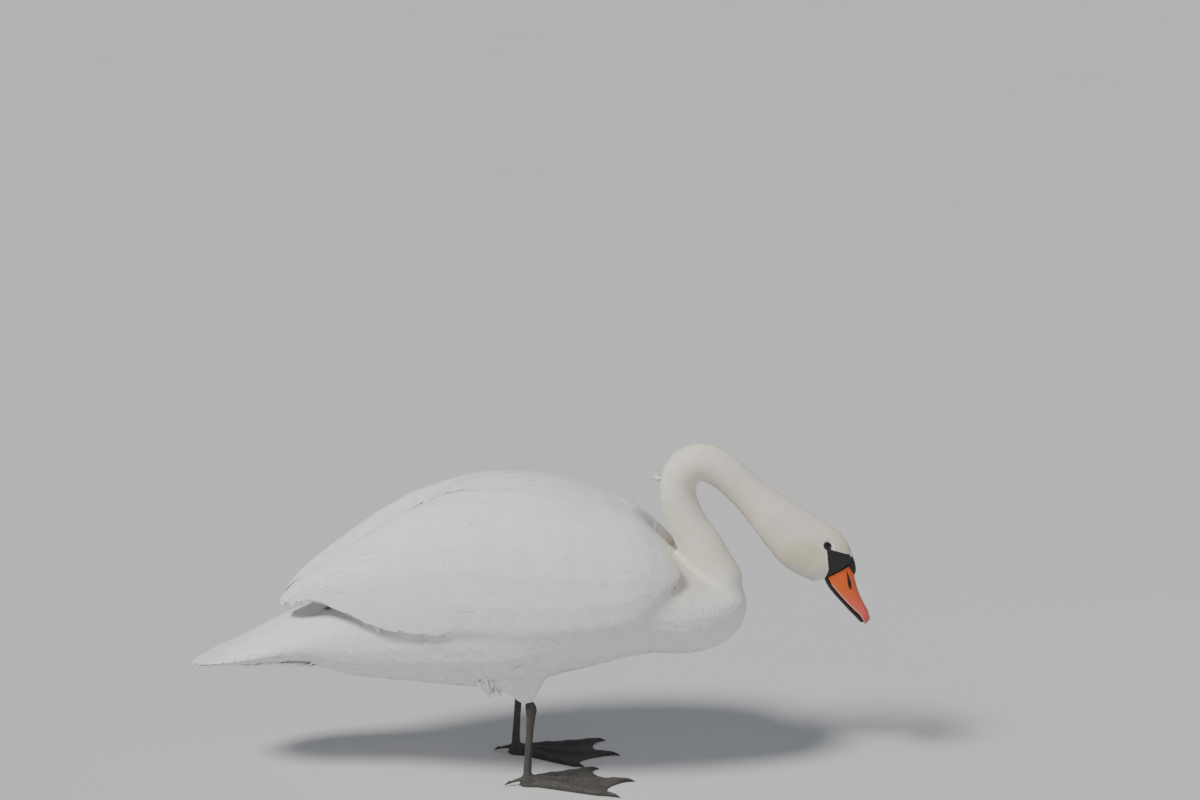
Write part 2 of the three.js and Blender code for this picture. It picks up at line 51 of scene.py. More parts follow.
# Folded wing from its tip to the shoulder, in millimetres: x, height its dome would
# reach over the spine, half the width, height of the widest line, height of the lower
# edge, distance of the upper edge from the spine, depth of the valley between the
# wings, distance of the crest from the spine, and thickness.
WING = np.array([
    (-340, 251, 33, 248, 245, 15, 2, 26, 3), (-320, 278, 52, 257, 250, 9, 10, 38, 4),
    (-290, 305, 72, 269, 260, 5, 20, 52, 5), (-250, 336, 96, 278, 253, 3, 26, 64, 7),
    (-200, 371, 117, 286, 235, 3, 25, 71, 10), (-150, 397, 132, 289, 230, 5, 20, 74, 13),
    (-100, 415, 142, 288, 229, 9, 13, 76, 15), (-50, 421, 148, 285, 230, 20, 5, 78, 15),
    (0, 420, 150, 280, 231, 32, 0, 78, 15), (50, 412, 149, 276, 232, 38, 0, 72, 15),
    (100, 395, 143, 270, 236, 40, 0, 62, 15), (150, 375, 132, 264, 243, 34, 0, 50, 14),
    (190, 346, 115, 256, 250, 30, 0, 45, 12), (220, 322, 98, 252, 252, 30, 0, 45, 9),
])
WING_FULLNESS = 2.3
WING_FOOT = 125
WING_TIP = -340
WING_FRONT = 150
SHOULDER_REACH = 61
SHOULDER_ROUND = 0.8
WING_RIM = 2.4
BROW_START, BROW_INSET, BROW_THIN = 0.9, 0.35, 0.6

# Tail from its tip to the rump: x, height of the top, half the width, height of the
# widest line, height of the underside, fullness.
TAIL = np.array([
    (-468, 155, 5, 153.5, 152, 1.7), (-455, 160, 27, 158, 154, 1.7),
    (-430, 172, 50, 166, 156.5, 1.7), (-400, 188, 63, 173, 158, 1.7),
    (-362, 209, 70, 181, 160, 1.8), (-330, 225, 72, 189, 161, 1.9),
    (-300, 237, 76, 197, 158, 2), (-250, 264, 86, 208, 143, 2.1),
])

# The line that the plumage lies along, from the bill to the tail: x and z.
LIE = np.array([
    (446, 290), (428, 306), (400, 322), (372, 340), (331, 367), (313, 384.5),
    (291, 405.5), (263, 429), (236, 438.5), (213, 427), (205.5, 402), (210.5, 374),
    (222, 347), (237, 320), (249, 291), (252, 262), (236, 240), (190, 232),
    (100, 250), (0, 262), (-150, 240), (-300, 200), (-468, 154),
]) * MM

# Bill: base, and the measures of its sections along it: ridge, half width, gape.
BILL_BASE = (0.426, 0.288)
BILL_DROP = math.radians(61)
BILL = np.array([
    (0.3, 20, 16.5, -17), (12, 18, 16.2, -17.8), (26, 13.8, 15.6, -16),
    (44, 9.8, 14.8, -12), (60, 8.8, 14, -8.3), (72, 8.8, 13.4, -5), (88, 6, 12.6, -3.5),
])
BILL_TIP = 88
BILL_ROUND = 17
BILL_THIN = 0.3
MANDIBLE_TIP = 84
MANDIBLE_DEPTH = 5.6
MANDIBLE_INSET = 1.6
LIP_GAP = 1.4

# Lumps in the bill's frame: the middle, half the length, width and height, and how many
# degrees the front end is lowered.
KNOB = (1, 18.0, 18.5, 8.4, 7.6, 11)
NAIL = (80.6, 2.7, 6.6, 5.8, 4.5, 16)
BROW = (-8, 17.4, 15, 9, 8.8, 4)

# Nostril's slit in the bill's frame: its middle, its slope, half its length, half its
# width there, and how fast it widens forward.
NOSTRIL_AT, NOSTRIL_SLOPE = (18.5, 6.6), math.radians(16)
NOSTRIL_LONG, NOSTRIL_WIDE, NOSTRIL_FLARE = 14.5, 2.0, 0.10

# Eye: the middle of its node, the eyeball's radius, and how far it lies back from there.
EYE = np.array((0.4086, 0.0176, 0.3245))
EYE_RADIUS = 0.0076
EYE_SINK = 0.001

# The sides by the sign of y, the scale of a vane's map, a turn in the finishes, and the
# feet's height over the floor in metres.
HANDS = {1: "left", -1: "right"}
VANE_SCALE = 5
WHOLE_TURN = 6.2832
FLOOR_GAP = 0.0002

# ---------------------------------------------------------------- small arithmetic


def unit(vectors):
    """The vectors' directions, each one long."""
    return vectors / np.maximum(np.linalg.norm(vectors, axis=-1, keepdims=True), 1e-12)


def smooth(value, low, high):
    """Smooth step from 0 at low to 1 at high."""
    share = np.clip((value - low) / (high - low), 0, 1)
    return share * share * (3 - 2 * share)


def mix(a, b, share):
    return a + (b - a) * share


def signed_power(value, power):
    return np.sign(value) * np.abs(value) ** power


def circle(count):
    """Angles spread evenly over a whole turn."""
    return np.linspace(0, 2 * np.pi, count, endpoint=False)


def reader(table):
    """Smooth curves through a table's columns, read at places of its first column."""
    places, values = table[:, 0].astype(float), table[:, 1:].astype(float)
    slopes = np.gradient(values, places, axis=0)

    def read(place):
        place = np.clip(place, places[0], places[-1])
        i = np.clip(np.searchsorted(places, place) - 1, 0, len(places) - 2)
        step = (places[i + 1] - places[i])[..., None]
        t = (place[..., None] - places[i][..., None]) / step
        keep, turn = (1 + 2 * t) * (1 - t) ** 2, t * (1 - t) ** 2
        rise, fall = t * t * (3 - 2 * t), t * t * (t - 1)
        found = keep * values[i] + turn * step * slopes[i] + rise * values[i + 1]
        return np.moveaxis(found + fall * step * slopes[i + 1], -1, 0)

    return read


# ---------------------------------------------------------------- meshes


def build(name, points, faces, finish=None):
    """A smooth-shaded mesh object from points and groups of faces, one size to a group."""
    groups = [np.asarray(group) for group in faces if len(group)]
    sizes = np.concatenate([np.full(len(g), g.shape[1]) for g in groups])
    corners = np.concatenate([g.ravel() for g in groups])
    mesh = bpy.data.meshes.new(name)
    mesh.vertices.add(len(points))
    mesh.vertices.foreach_set("co", np.asarray(points, np.float32).ravel())
    mesh.loops.add(len(corners))
    mesh.loops.foreach_set("vertex_index", corners.astype(np.int32))
    mesh.polygons.add(len(sizes))
    starts = np.concatenate([[0], np.cumsum(sizes)[:-1]])
    mesh.polygons.foreach_set("loop_start", starts.astype(np.int32))
    mesh.update(calc_edges=True)
    mesh.polygons.foreach_set("use_smooth", np.ones(len(sizes), bool))
    if finish:
        mesh.materials.append(finish)
    made = bpy.data.objects.new(name, mesh)
    bpy.context.scene.collection.objects.link(made)
    return made


def read_out(items, name, width, kind):
    """One property of a mesh's points, corners or triangles, as rows of an array."""
    values = np.empty(len(items) * width, kind)
    items.foreach_get(name, values)
    return values.reshape(-1, width)


def triangles_of(mesh):
    mesh.calc_loop_triangles()
    return (read_out(mesh.vertices, "co", 3, np.float32).astype(float),
            read_out(mesh.loop_triangles, "vertices", 3, np.int32))


def quads_of(mesh):
    return (read_out(mesh.vertices, "co", 3, np.float32).astype(float),
            read_out(mesh.loops, "vertex_index", 1, np.int32).reshape(-1, 4))


def joined(parts):
    """Several meshes' points and faces as one mesh's."""
    points, faces, count = [], [], 0
    for part_points, part_faces in parts:
        points.append(part_points)
        faces.append(part_faces + count)
        count += len(part_points)
    return np.concatenate(points), np.concatenate(faces)


def node_arrays(*names):
    return joined([triangles_of(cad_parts[name].data) for name in names])


def remeshed(points, faces, voxel):
    """One closed quad mesh round everything that the faces enclose."""
    rough = build("rough", points, [faces])
    change = rough.modifiers.new("whole", "REMESH")
    change.mode, change.voxel_size = "VOXEL", voxel
    shape = rough.evaluated_get(bpy.context.evaluated_depsgraph_get())
    result = quads_of(shape.to_mesh())
    shape.to_mesh_clear()
    mesh = rough.data
    bpy.data.objects.remove(rough)
    bpy.data.meshes.remove(mesh)
    return result


def neighbour_sums(count, faces):
    """A function that averages per-point values over each point's neighbours."""
    sides = faces.shape[1]
    a, b = np.concatenate([faces[:, [i, (i + 1) % sides]] for i in range(sides)]).T
    share = np.maximum(np.bincount(a, minlength=count), 1)

    def average(values):
        return np.stack([np.bincount(a, weights=values[b, k], minlength=count) / share
                         for k in range(values.shape[1])], -1)

    return average


def relaxed(points, faces, rounds, strength=0.5, shrink=False, weight=1.0):
    """Smooths a mesh; unless shrink is set, every other step pushes back out."""
    average = neighbour_sums(len(points), faces)
    for i in range(rounds):
        step = strength if shrink or i % 2 == 0 else -strength - 0.03
        points = points + (average(points) - points) * step * weight
    return points


def normals_of(points, faces):
    """Point and face normals of a closed mesh of quads."""
    a, b, c, d = (points[faces[:, i]] for i in range(4))
    cross = np.cross(c - a, d - b)
    total = np.stack([sum(np.bincount(faces[:, i], weights=cross[:, k], minlength=len(points))
                          for i in range(4)) for k in range(3)], -1)
    at_points = unit(total)
    return at_points, unit(at_points[faces].mean(1))


class Form:
    """A surface that feathers are laid on."""

    def __init__(self, points, faces):
        self.points, self.faces = points, faces
        self.point_normals, self.face_normals = normals_of(points, faces)
        self.tree = BVHTree.FromPolygons(points.tolist(), faces.tolist())

    def nearest(self, places):
        """The surface's places nearest to these, and the faces they lie on."""
        find = self.tree.find_nearest
        hits = [find(place) for place in places.reshape(-1, 3).tolist()]
        found = np.array([hit[0][:] for hit in hits])
        index = np.array([hit[2] for hit in hits])
        return found.reshape(places.shape), index.reshape(places.shape[:-1])

    def settle(self, places, lift):
        """Moves places onto the surface, lifted off it by a distance."""
        found, index = self.nearest(places)
        return found + self.face_normals[index] * lift[..., None]


# ---------------------------------------------------------------- materials


class Wire:
    """A value in a finish. Arithmetic on it adds the Math nodes."""

    def __init__(self, finish, socket):
        self.finish, self.socket = finish, socket

    def sum(self, operation, *values):
        return self.finish.node("ShaderNodeMath", {"operation": operation}, dict(enumerate(values)))

    def __add__(self, other):
        return self.sum("ADD", self, other)

    def __radd__(self, other):
        return self.sum("ADD", other, self)

    def __sub__(self, other):
        return self.sum("SUBTRACT", self, other)

    def __rsub__(self, other):
        return self.sum("SUBTRACT", other, self)

    def __mul__(self, other):
        return self.sum("MULTIPLY", self, other)

    def __rmul__(self, other):
        return self.sum("MULTIPLY", other, self)

    def __truediv__(self, other):
        return self.sum("DIVIDE", self, other)

    def __pow__(self, other):
        return self.sum("POWER", self, other)

    def __neg__(self):
        return self.sum("MULTIPLY", self, -1.0)

    def __abs__(self):
        return self.sum("ABSOLUTE", self)


class Finish:
    """One material, built node by node."""

    def __init__(self, name, **surface):
        self.material = bpy.data.materials.new(name)
        self.material.use_nodes = True
        self.tree = self.material.node_tree
        self.surface = self.tree.nodes["Principled BSDF"]
        self.set(**surface)

    def set(self, **surface):
        for name, value in surface.items():
            self.join(value, self.surface.inputs[name.replace("_", " ")])

    def join(self, value, socket):
        """Links a wire to a socket, or sets the socket's own value."""
        if isinstance(value, Wire):
            self.tree.links.new(value.socket, socket)
        elif isinstance(value, (tuple, list)) and len(socket.default_value) == 4:
            socket.default_value = (*value[:3], 1.0)
        else:
            socket.default_value = value

    def node(self, kind, settings=(), sockets=(), output=0):
        """Adds a node and gives one of its outputs."""
        made = self.tree.nodes.new(kind)
        for name, value in dict(settings).items():
            setattr(made, name, value)
        for key, value in dict(sockets).items():
            self.join(value, made.inputs[key])
        return Wire(self, made.outputs[output])

    def place(self):
        """x, y and z of the shaded place in millimetres."""
        where = self.node("ShaderNodeTexCoord", output="Object")
        where = self.node("ShaderNodeVectorMath", {"operation": "SCALE"},
                          {0: where, "Scale": 1000.0})
        split = self.tree.nodes.new("ShaderNodeSeparateXYZ")
        self.join(where, split.inputs[0])
        return [Wire(self, split.outputs[i]) for i in range(3)]

    def vector(self, x, y, z):
        return self.node("ShaderNodeCombineXYZ", (), {0: x, 1: y, 2: z})

    def vane_map(self):
        """Distance across and along a vane, in millimetres, from a map of VANE_SCALE a metre."""
        where = self.node("ShaderNodeUVMap", {"uv_map": "vane"})
        split = self.tree.nodes.new("ShaderNodeSeparateXYZ")
        self.join(where, split.inputs[0])
        across, along = (Wire(self, split.outputs[i]) for i in range(2))
        return (across - 0.5) * (1000 / VANE_SCALE), along * (1000 / VANE_SCALE)

    def tone(self):
        """Each vane's own shade, from 0 to 1."""
        return self.node("ShaderNodeAttribute", {"attribute_name": "tone"}, output="Fac")

    def noise(self, size, place=None, detail=2.0, roughness=0.5):
        """Noise from 0 to 1 whose blots are about size millimetres wide."""
        place = place or self.vector(*self.place())
        return self.node("ShaderNodeTexNoise", (), {
            "Vector": place, "Scale": 1.0 / size, "Detail": detail, "Roughness": roughness})

    def cells(self, size):
        """Distance to the edges of cells that are about size millimetres wide."""
        return self.node("ShaderNodeTexVoronoi", {"feature": "DISTANCE_TO_EDGE"},
                         {"Vector": self.vector(*self.place()), "Scale": 1.0 / size})

    def colours(self, share, first, second):
        """The first colour where share is 0, the second where it is 1."""
        return self.node("ShaderNodeMix", {"data_type": "RGBA"}, {0: share, 6: first, 7: second}, 2)

    def bump(self, height, depth):
        """Normal of a relief whose height of 1 stands depth metres proud."""
        return self.node("ShaderNodeBump", (), {
            "Height": height, "Distance": depth, "Strength": 1.0})


def ease(value, low, high):
    """Smooth step from 0 at low to 1 at high, for numbers and for wires."""
    if isinstance(value, Wire):
        return value.finish.node("ShaderNodeMapRange", {"interpolation_type": "SMOOTHSTEP"}, {
            "Value": value, "From Min": low, "From Max": high, "To Min": 0.0, "To Max": 1.0})
    return smooth(value, low, high)


def least(a, b):
    wire = a if isinstance(a, Wire) else b
    return wire.sum("MINIMUM", a, b) if isinstance(wire, Wire) else np.minimum(a, b)


def most(a, b):
    wire = a if isinstance(a, Wire) else b
    return wire.sum("MAXIMUM", a, b) if isinstance(wire, Wire) else np.maximum(a, b)


# ---------------------------------------------------------------- markings
# These take x, y and z in millimetres, as numbers for the feathers' places or as wires
# for the finishes, so skin and coat carry the same ones.

DROP_COS, DROP_SIN = math.cos(BILL_DROP), math.sin(BILL_DROP)


def bill_frame(x, z):
    """Distance along the bill from its base, and height over its axis."""
    ahead, up = x - 1000 * BILL_BASE[0], z - 1000 * BILL_BASE[1]
    return ahead * DROP_COS - up * DROP_SIN, ahead * DROP_SIN + up * DROP_COS


def eye_axes(side):
    """The way an eye looks, with two ways across it: towards the bill, and up."""
    out = unit(np.array((0.25, side * 0.95, 0.12)))
    ahead = np.array((0.80, 0.0, -0.60))
    ahead = unit(ahead - out * (ahead @ out))
    return out, ahead, np.cross(out, ahead) * side * -1


_, EYE_AHEAD, EYE_UP = eye_axes(1)
EYE_OVAL = 1.12


def eye_distance(x, y, z):
    """Distance across an eye from the way it looks, drawn out to the lids' oval."""
    gap = x - 1000 * EYE[0], abs(y) - 1000 * EYE[1], z - 1000 * EYE[2]
    along = sum(part * way for part, way in zip(gap, EYE_AHEAD.tolist()))
    over = sum(part * way * EYE_OVAL for part, way in zip(gap, EYE_UP.tolist()))
    return (along * along + over * over) ** 0.5


def lore_depth(x, y, z):
    """How far inside the bare black skin before the eye a place is; below 0 is outside."""
    s, h = bill_frame(x, z)
    peak = 9.0 * (1 - ease(abs(y), 2.0, 10.0))
    under_brow = (4.2 + 0.83 * (s + 36) - peak - h) * 0.77
    rear = least(-0.42 * (s + 35.4), -1.07 * (s + 7.3) - 13.7)
    before_cheek = (h - rear) * 0.75
    return least(least(most(under_brow, s + 1.0), before_cheek), s + 38)


def neck_share(x, z):
    """1 on the neck and head, 0 on the body."""
    return ease(z, 235.0, 300.0) * ease(x, 178.0, 196.0)


def blob(x, z, centre, size):
    """1 in the middle of a soft round patch on both sides, 0 outside."""
    a, b = (x - centre[0]) / size[0], (z - centre[1]) / size[1]
    return 1 - ease((a * a + b * b) ** 0.5, 0.25, 1.0)


# ---------------------------------------------------------------- finishes

BODY_WHITE = (0.875, 0.875, 0.865)
NECK_CREAM = (0.86, 0.795, 0.66)
CROWN_CREAM = (0.85, 0.765, 0.585)
CHEEK_OLIVE = (0.72, 0.665, 0.41)
BARE_BLACK = (0.018, 0.017, 0.018)
BILL_ORANGE = (0.72, 0.115, 0.014)
BILL_PINK = (0.66, 0.115, 0.10)
# a painted highlight: the pale pink line along the upper bill's lip
LIP_HIGHLIGHT = (0.80, 0.40, 0.30)
HORN_BLACK = (0.02, 0.018, 0.018)
HORN_WORN = (0.06, 0.05, 0.048)
CLAW_BLACK = (0.02, 0.018, 0.017)
CLAW_WORN = (0.09, 0.075, 0.062)
BARE_GREY = (0.07, 0.062, 0.058)
SHAFT_GREY = (0.62, 0.60, 0.52)
BILL_MOTTLE = (0.84, 0.22, 0.09)
NAIL_RED = (0.42, 0.10, 0.08)
LEG_BLACK = (0.030, 0.029, 0.030)
LEG_GREY = (0.085, 0.078, 0.070)
LEG_CREASE = (0.13, 0.12, 0.105)
PUPIL_BLACK = (0.003, 0.003, 0.003)
IRIS_BROWN = (0.026, 0.011, 0.006)
EYE_EDGE = (0.006, 0.005, 0.005)
FLOOR_GREY = (0.60, 0.60, 0.595)
FLOOR_PALE = (0.64, 0.64, 0.635)


def plumage_colour(finish, x, y, z):
    """White body, cream neck and crown, olive cheek, and a pale ring round the eye."""
    drift = finish.noise(26.0, detail=3.0)
    cream = neck_share(x, z) * (0.55 + 0.6 * drift)
    colour = finish.colours(least(cream, 1.0), BODY_WHITE, NECK_CREAM)
    s, h = bill_frame(x, z)
    crown = ease(x, 300.0, 380.0) * ease(h + 0.12 * s, 2.0, 20.0) * (0.6 + 0.5 * drift)
    colour = finish.colours(least(crown, 0.95), colour, CROWN_CREAM)
    cheek = blob(x, z, (376.0, 316.0), (38.0, 30.0)) * (0.45 + 0.75 * drift)
    colour = finish.colours(least(cheek, 0.9), colour, CHEEK_OLIVE)
    pale = (1 - ease(eye_distance(x, y, z), 8.0, 15.0)) * 0.8
    return finish.colours(pale, colour, BODY_WHITE)


def feather_finish(name, barb, barb_depth, shaft=0.0):
    """White vanes: fine slanted barbs, a shaft on the long ones, and a soft sheen."""
    finish = Finish(name, Roughness=0.72, Sheen_Weight=0.25, Sheen_Roughness=0.5,
                    Specular_IOR_Level=0.25)
    across, along = finish.vane_map()
    colour = plumage_colour(finish, *finish.place())
    tone = finish.tone()
    side = abs(across)
    slant = (along - side * 0.9) / barb
    strand = finish.node("ShaderNodeMath", {"operation": "SINE"}, {0: slant * WHOLE_TURN})
    clump = finish.noise(1.0, finish.vector(slant * 0.22, tone * 40.0, side * 0.05), detail=1.0)
    shade = 0.93 + 0.05 * tone + 0.05 * clump
    colour = finish.node("ShaderNodeVectorMath", {"operation": "SCALE"},
                         {0: colour, "Scale": shade})
    height = strand * 0.2 + clump * 0.8
    if shaft:
        quill = 1 - ease(side, 0.35 * shaft, 0.9 * shaft)
        colour = finish.colours(quill * 0.35, colour, SHAFT_GREY)
        height = height + quill * 2.0
    finish.set(Base_Color=colour, Normal=finish.bump(height, barb_depth))
    return finish.material


def skin_finish():
    """Feather-white skin under the coat, bare and black before the eye."""
    finish = Finish("skin", Specular_IOR_Level=0.35)
    x, y, z = finish.place()
    colour = plumage_colour(finish, x, y, z)
    wander = (finish.noise(2.2) - 0.5) * 1.1
    bare = ease(lore_depth(x, y, z) + wander, -0.25, 0.25)
    rim = 1 - ease(eye_distance(x, y, z) + wander * 0.2, 6.1, 6.5)
    bare = most(bare, rim) * ease(x, 380.0, 384.0)
    grain = finish.noise(1.4, detail=3.0)
    pebbles = finish.cells(0.5)
    colour = finish.colours(bare, colour, BARE_BLACK)
    colour = finish.colours(bare * grain * 0.35, colour, BARE_GREY)
    height = mix(grain, least(pebbles * 3.0, 1.0), bare)
    finish.set(Base_Color=colour, Roughness=0.85 - bare * 0.37, Normal=finish.bump(height, 0.00008))
    return finish.material


def bill_finish():
    """Orange going pink to the tip, edged in black, with a black nostril and knob, and a painted
    highlight along the lip.
    """
    finish = Finish("bill_horn", Specular_IOR_Level=0.35, Coat_Weight=0.08, Coat_Roughness=0.35)
    x, y, z = finish.place()
    s, h = bill_frame(x, z)
    side = abs(y)
    wander = (finish.noise(3.0, detail=3.0) - 0.5) * 1.6
    blush = ease(s + wander * 3, 18.0, 74.0)
    colour = finish.colours(blush, BILL_ORANGE, BILL_PINK)
    mottle = finish.noise(5.0, detail=4.0)
    colour = finish.colours(mottle * 0.15, colour, BILL_MOTTLE)
    # At the base the orange ends on a line from under the knob to the gape's corner.
    base = 1 - ease(s - 0.08 * (h + 17) + wander * 0.5, -0.4, 0.6)
    gape_line = gape_height(s)
    # The paler pink band along the lip, just over the gape, is a painted highlight of the light
    # that the lip's edge catches.
    lip = (1 - ease(h - gape_line + wander * 0.2, 0.8, 1.7)) * ease(s, 8.0, 16.0) * 0.75
    colour = finish.colours(lip, colour, LIP_HIGHLIGHT)
    tomium = 1 - ease(h - gape_line + wander * 0.25 + ease(s, 4.0, 14.0) * 1.6, 0.9, 1.5)
    from_knob = (((s - 1.0) / 19.0) ** 2 + (y / 9.2) ** 2) ** 0.5
    knob = (1 - ease(from_knob + wander * 0.03, 0.93, 1.03)) * ease(h, 8.0, 11.0)
    ridge = (1 - ease(side + wander * 0.3, 1.6, 2.5)) * (1 - ease(s, 34.0, 48.0))
    along_slit, over_slit = nostril_frame(s, h)
    from_slit = (along_slit * along_slit + over_slit * over_slit) ** 0.5
    slit = (1 - ease(from_slit + wander * 0.05, 0.9, 1.05)) * ease(side, 7.0, 8.5)
    black = most(most(base, tomium), most(most(knob, ridge), slit))
    nail = ease(s, 79.5, 82.0) * (1 - ease(side, 6.0, 7.2))
    colour = finish.colours(nail * 0.35, colour, NAIL_RED)
    tip = ease(s + wander * 0.3, 86.2, 87.6)
    black = most(black, tip * 0.75)
    colour = finish.colours(black, colour, HORN_BLACK)
    scuff = finish.noise(1.6, finish.vector(s * 0.35, y, h), detail=4.0)
    height = scuff * 0.7 + least(finish.cells(1.3) * 2.0, 1.0) * black * 0.6
    finish.set(Base_Color=colour, Roughness=0.36 + 0.12 * scuff + 0.08 * black,
               Normal=finish.bump(height, 0.00016))
    return finish.material


def gape_height(s):
    """Height of the line between the upper and the lower bill."""
    return least(-18.4 + 0.11 * s + 0.0016 * s * s, -4.2 + 0.02 * s)


def nostril_frame(s, h):
    """Place in the nostril's slit: 1 is its edge, along and across."""
    ahead, up = s - NOSTRIL_AT[0], h - NOSTRIL_AT[1]
    turn_cos, turn_sin = math.cos(NOSTRIL_SLOPE), math.sin(NOSTRIL_SLOPE)
    along = (ahead * turn_cos - up * turn_sin) / NOSTRIL_LONG
    half = NOSTRIL_WIDE + NOSTRIL_FLARE * ahead
    return along, (ahead * turn_sin + up * turn_cos) / half


def horn_finish(name, colour, second, rough):
    """Dark horn with worn streaks along the bill's line."""
    finish = Finish(name, Specular_IOR_Level=0.5)
    x, y, z = finish.place()
    s, h = bill_frame(x, z)
    streak = finish.noise(1.5, finish.vector(s * 0.3, y, h), detail=4.0)
    finish.set(Base_Color=finish.colours(streak * 0.8, colour, second),
               Roughness=rough + 0.15 * streak, Normal=finish.bump(streak, 0.0002))
    return finish.material


def leg_finish():
    """Grey-black leather in small plates with paler creases."""
    finish = Finish("leg_leather", Specular_IOR_Level=0.4)
    plates = finish.cells(2.6)
    crease = 1 - ease(plates, 0.03, 0.16)
    grime = finish.noise(9.0, detail=4.0)
    colour = finish.colours(grime, LEG_BLACK, LEG_GREY)
    colour = finish.colours(crease * 0.5, colour, LEG_CREASE)
    finish.set(Base_Color=colour, Roughness=0.5 + 0.2 * grime,
               Normal=finish.bump(least(plates * 4.0, 1.0) + grime * 0.3, 0.0006))
    return finish.material


def eye_finish(side):
    """Dark brown iris round a black pupil, under a clear wet surface."""
    finish = Finish(f"eye_{HANDS[side]}", Roughness=0.06, Coat_Weight=0.15,
                    Coat_Roughness=0.02, Specular_IOR_Level=0.45)
    out = eye_distance(*finish.place())
    rays = finish.noise(0.8, detail=3.0)
    iris = ease(out + rays * 0.4, 2.4, 3.1)
    edge = ease(out, 4.6, 5.6)
    colour = finish.colours(iris, PUPIL_BLACK, IRIS_BROWN)
    finish.set(Base_Color=finish.colours(edge, colour, EYE_EDGE))
    return finish.material


# ---------------------------------------------------------------- wings

wing_at = reader(WING)
tail_at = reader(TAIL)


def wing_front(across):
    """x of a wing's front edge, in millimetres."""
    return WING_FRONT + SHOULDER_REACH * np.sin(np.pi * across) ** SHOULDER_ROUND


def wing_point(along, across, proud, face=0.0, side=1):
    """A place on a folded wing, from its tip (0) to the shoulder (1) and from its lower
    edge (0) over the crest to its inner edge (1), proud metres off its outer face, or
    off its inner one where face is 1."""
    across = np.clip(across, 0.002, 0.998)
    x = mix(WING_TIP, wing_front(across), along)
    dome, half, middle, edge, inner, dip, crest, thick = wing_at(x)
    power = 2 / WING_FULLNESS
    hang = np.maximum(0, middle - edge) / (middle - WING_FOOT)
    lowest = -np.arcsin(hang ** (1 / power))
    highest = np.arccos(np.clip(inner / half, 0, 1) ** (1 / power))
    angle = mix(lowest, highest, across)
    rise = np.where(angle > 0, dome - middle, middle - WING_FOOT)
    out_y, out_z = np.cos(angle) / half, np.sin(angle) / rise
    size = np.hypot(out_y, out_z)
    y = half * np.cos(angle) ** power
    valley = dip * (1 - smooth(y, 0, crest))
    z = middle + rise * signed_power(np.sin(angle), power) - valley
    swell = np.sqrt(np.sin(np.pi * across))
    brow = np.maximum(0, (along - BROW_START) / (1 - BROW_START)) ** 2
    thick_here = WING_RIM + (thick - WING_RIM) * swell * (1 - BROW_THIN * brow)
    inset = BROW_INSET * thick * brow * swell + face * thick_here - proud * 1000 * (1 - 2 * face)
    return np.stack([x, side * (y - inset * out_y / size), z - inset * out_z / size], -1) * MM


# Where the rows of coverts start, in millimetres. Scattered feathers cover what is ahead.
COVERT_START = -30


def covert_limits(x):
    """The part of a wing's width that its rows of feathers cover, at x in millimetres."""
    return 0.17 * smooth(x, -90, -30), 1 - 0.13 * smooth(x, -110, -40)


def wing_margins():
    """Places on the left wing: where coverts cover it, along its seam with the body, on
    the shoulder ahead of the coverts, and along its rear edges."""
    along, across = np.meshgrid(np.linspace(0.01, 1, 140), np.linspace(0.0, 1, 90), indexing="ij")
    points = wing_point(along, across, 0.0).reshape(-1, 3)
    across = across.ravel()
    low, high = covert_limits(points[:, 0] * 1000)
    behind = wing_front(across) - points[:, 0] * 1000
    covered = (across > low) & (across < high) & (points[:, 0] < COVERT_START * MM)
    seam = (points[:, 0] > -0.09) & ((across < 0.03) | (across > 0.97) | (behind < 4))
    shoulder = (across > 0.03) & (across < 0.97) & (points[:, 0] > (COVERT_START - 4) * MM)
    edge = (points[:, 0] < -0.09) & ((across < 0.02) | (across > 0.98))
    return points[covered], points[seam], points[shoulder], points[edge]


def tree_of(points):
    tree = KDTree(len(points))
    for i, point in enumerate(points.tolist()):
        tree.insert(point, i)
    tree.balance()
    return tree


def nearness(points):
    """A function for how near places are to any of the points or their mirror images."""
    tree = tree_of(points)

    def distance(places):
        places = places * (1, 0, 1) + np.abs(places) * (0, 1, 0)
        return np.array([tree.find(place)[2] for place in places.tolist()])

    return distance


from_coverts, from_seam, from_shoulder, from_edge = map(nearness, wing_margins())


def halves(quads):
    """Two triangles for each quad."""
    return np.concatenate([quads[:, [0, 1, 2]], quads[:, [0, 2, 3]]])


def grid_quads(grid):
    """Quads between the neighbours of a grid of point numbers."""
    return np.stack([grid[:-1, :-1], grid[1:, :-1], grid[1:, 1:], grid[:-1, 1:]], -1).reshape(-1, 4)


def shell_arrays(outer, inner, flip=False):
    """Points and faces of a closed body between two grids of points."""
    rows, columns = outer.shape[:2]
    grid = np.arange(rows * columns).reshape(rows, columns)
    top = grid_quads(grid)
    rim = np.concatenate([grid[0], grid[1:, -1], grid[-1, -2::-1], grid[-2:0:-1, 0]])
    after = np.roll(rim, -1)
    size = rows * columns
    side = np.stack([rim, after, after + size, rim + size], -1)
    faces = np.concatenate([top, top[:, ::-1] + size, side])
    if not flip:
        faces = faces[:, ::-1]
    return np.concatenate([outer.reshape(-1, 3), inner.reshape(-1, 3)]), faces


def tube(rings, side=1):
    """Points and faces of an open tube through rings of points, turned over on the right."""
    count = len(rings[0])
    near = np.arange(count)
    after = (near + 1) % count
    row = np.stack([near, after, count + after, count + near], -1)
    faces = np.concatenate([row + k * count for k in range(len(rings) - 1)])
    return np.concatenate(rings), faces if side > 0 else faces[:, ::-1]


def bill_place(s, y, h):
    """Millimetres in the bill's frame to metres in the frame's."""
    x = 1000 * BILL_BASE[0] + s * DROP_COS + h * DROP_SIN
    z = 1000 * BILL_BASE[1] - s * DROP_SIN + h * DROP_COS
    return np.stack(np.broadcast_arrays(x, y, z), -1) * MM


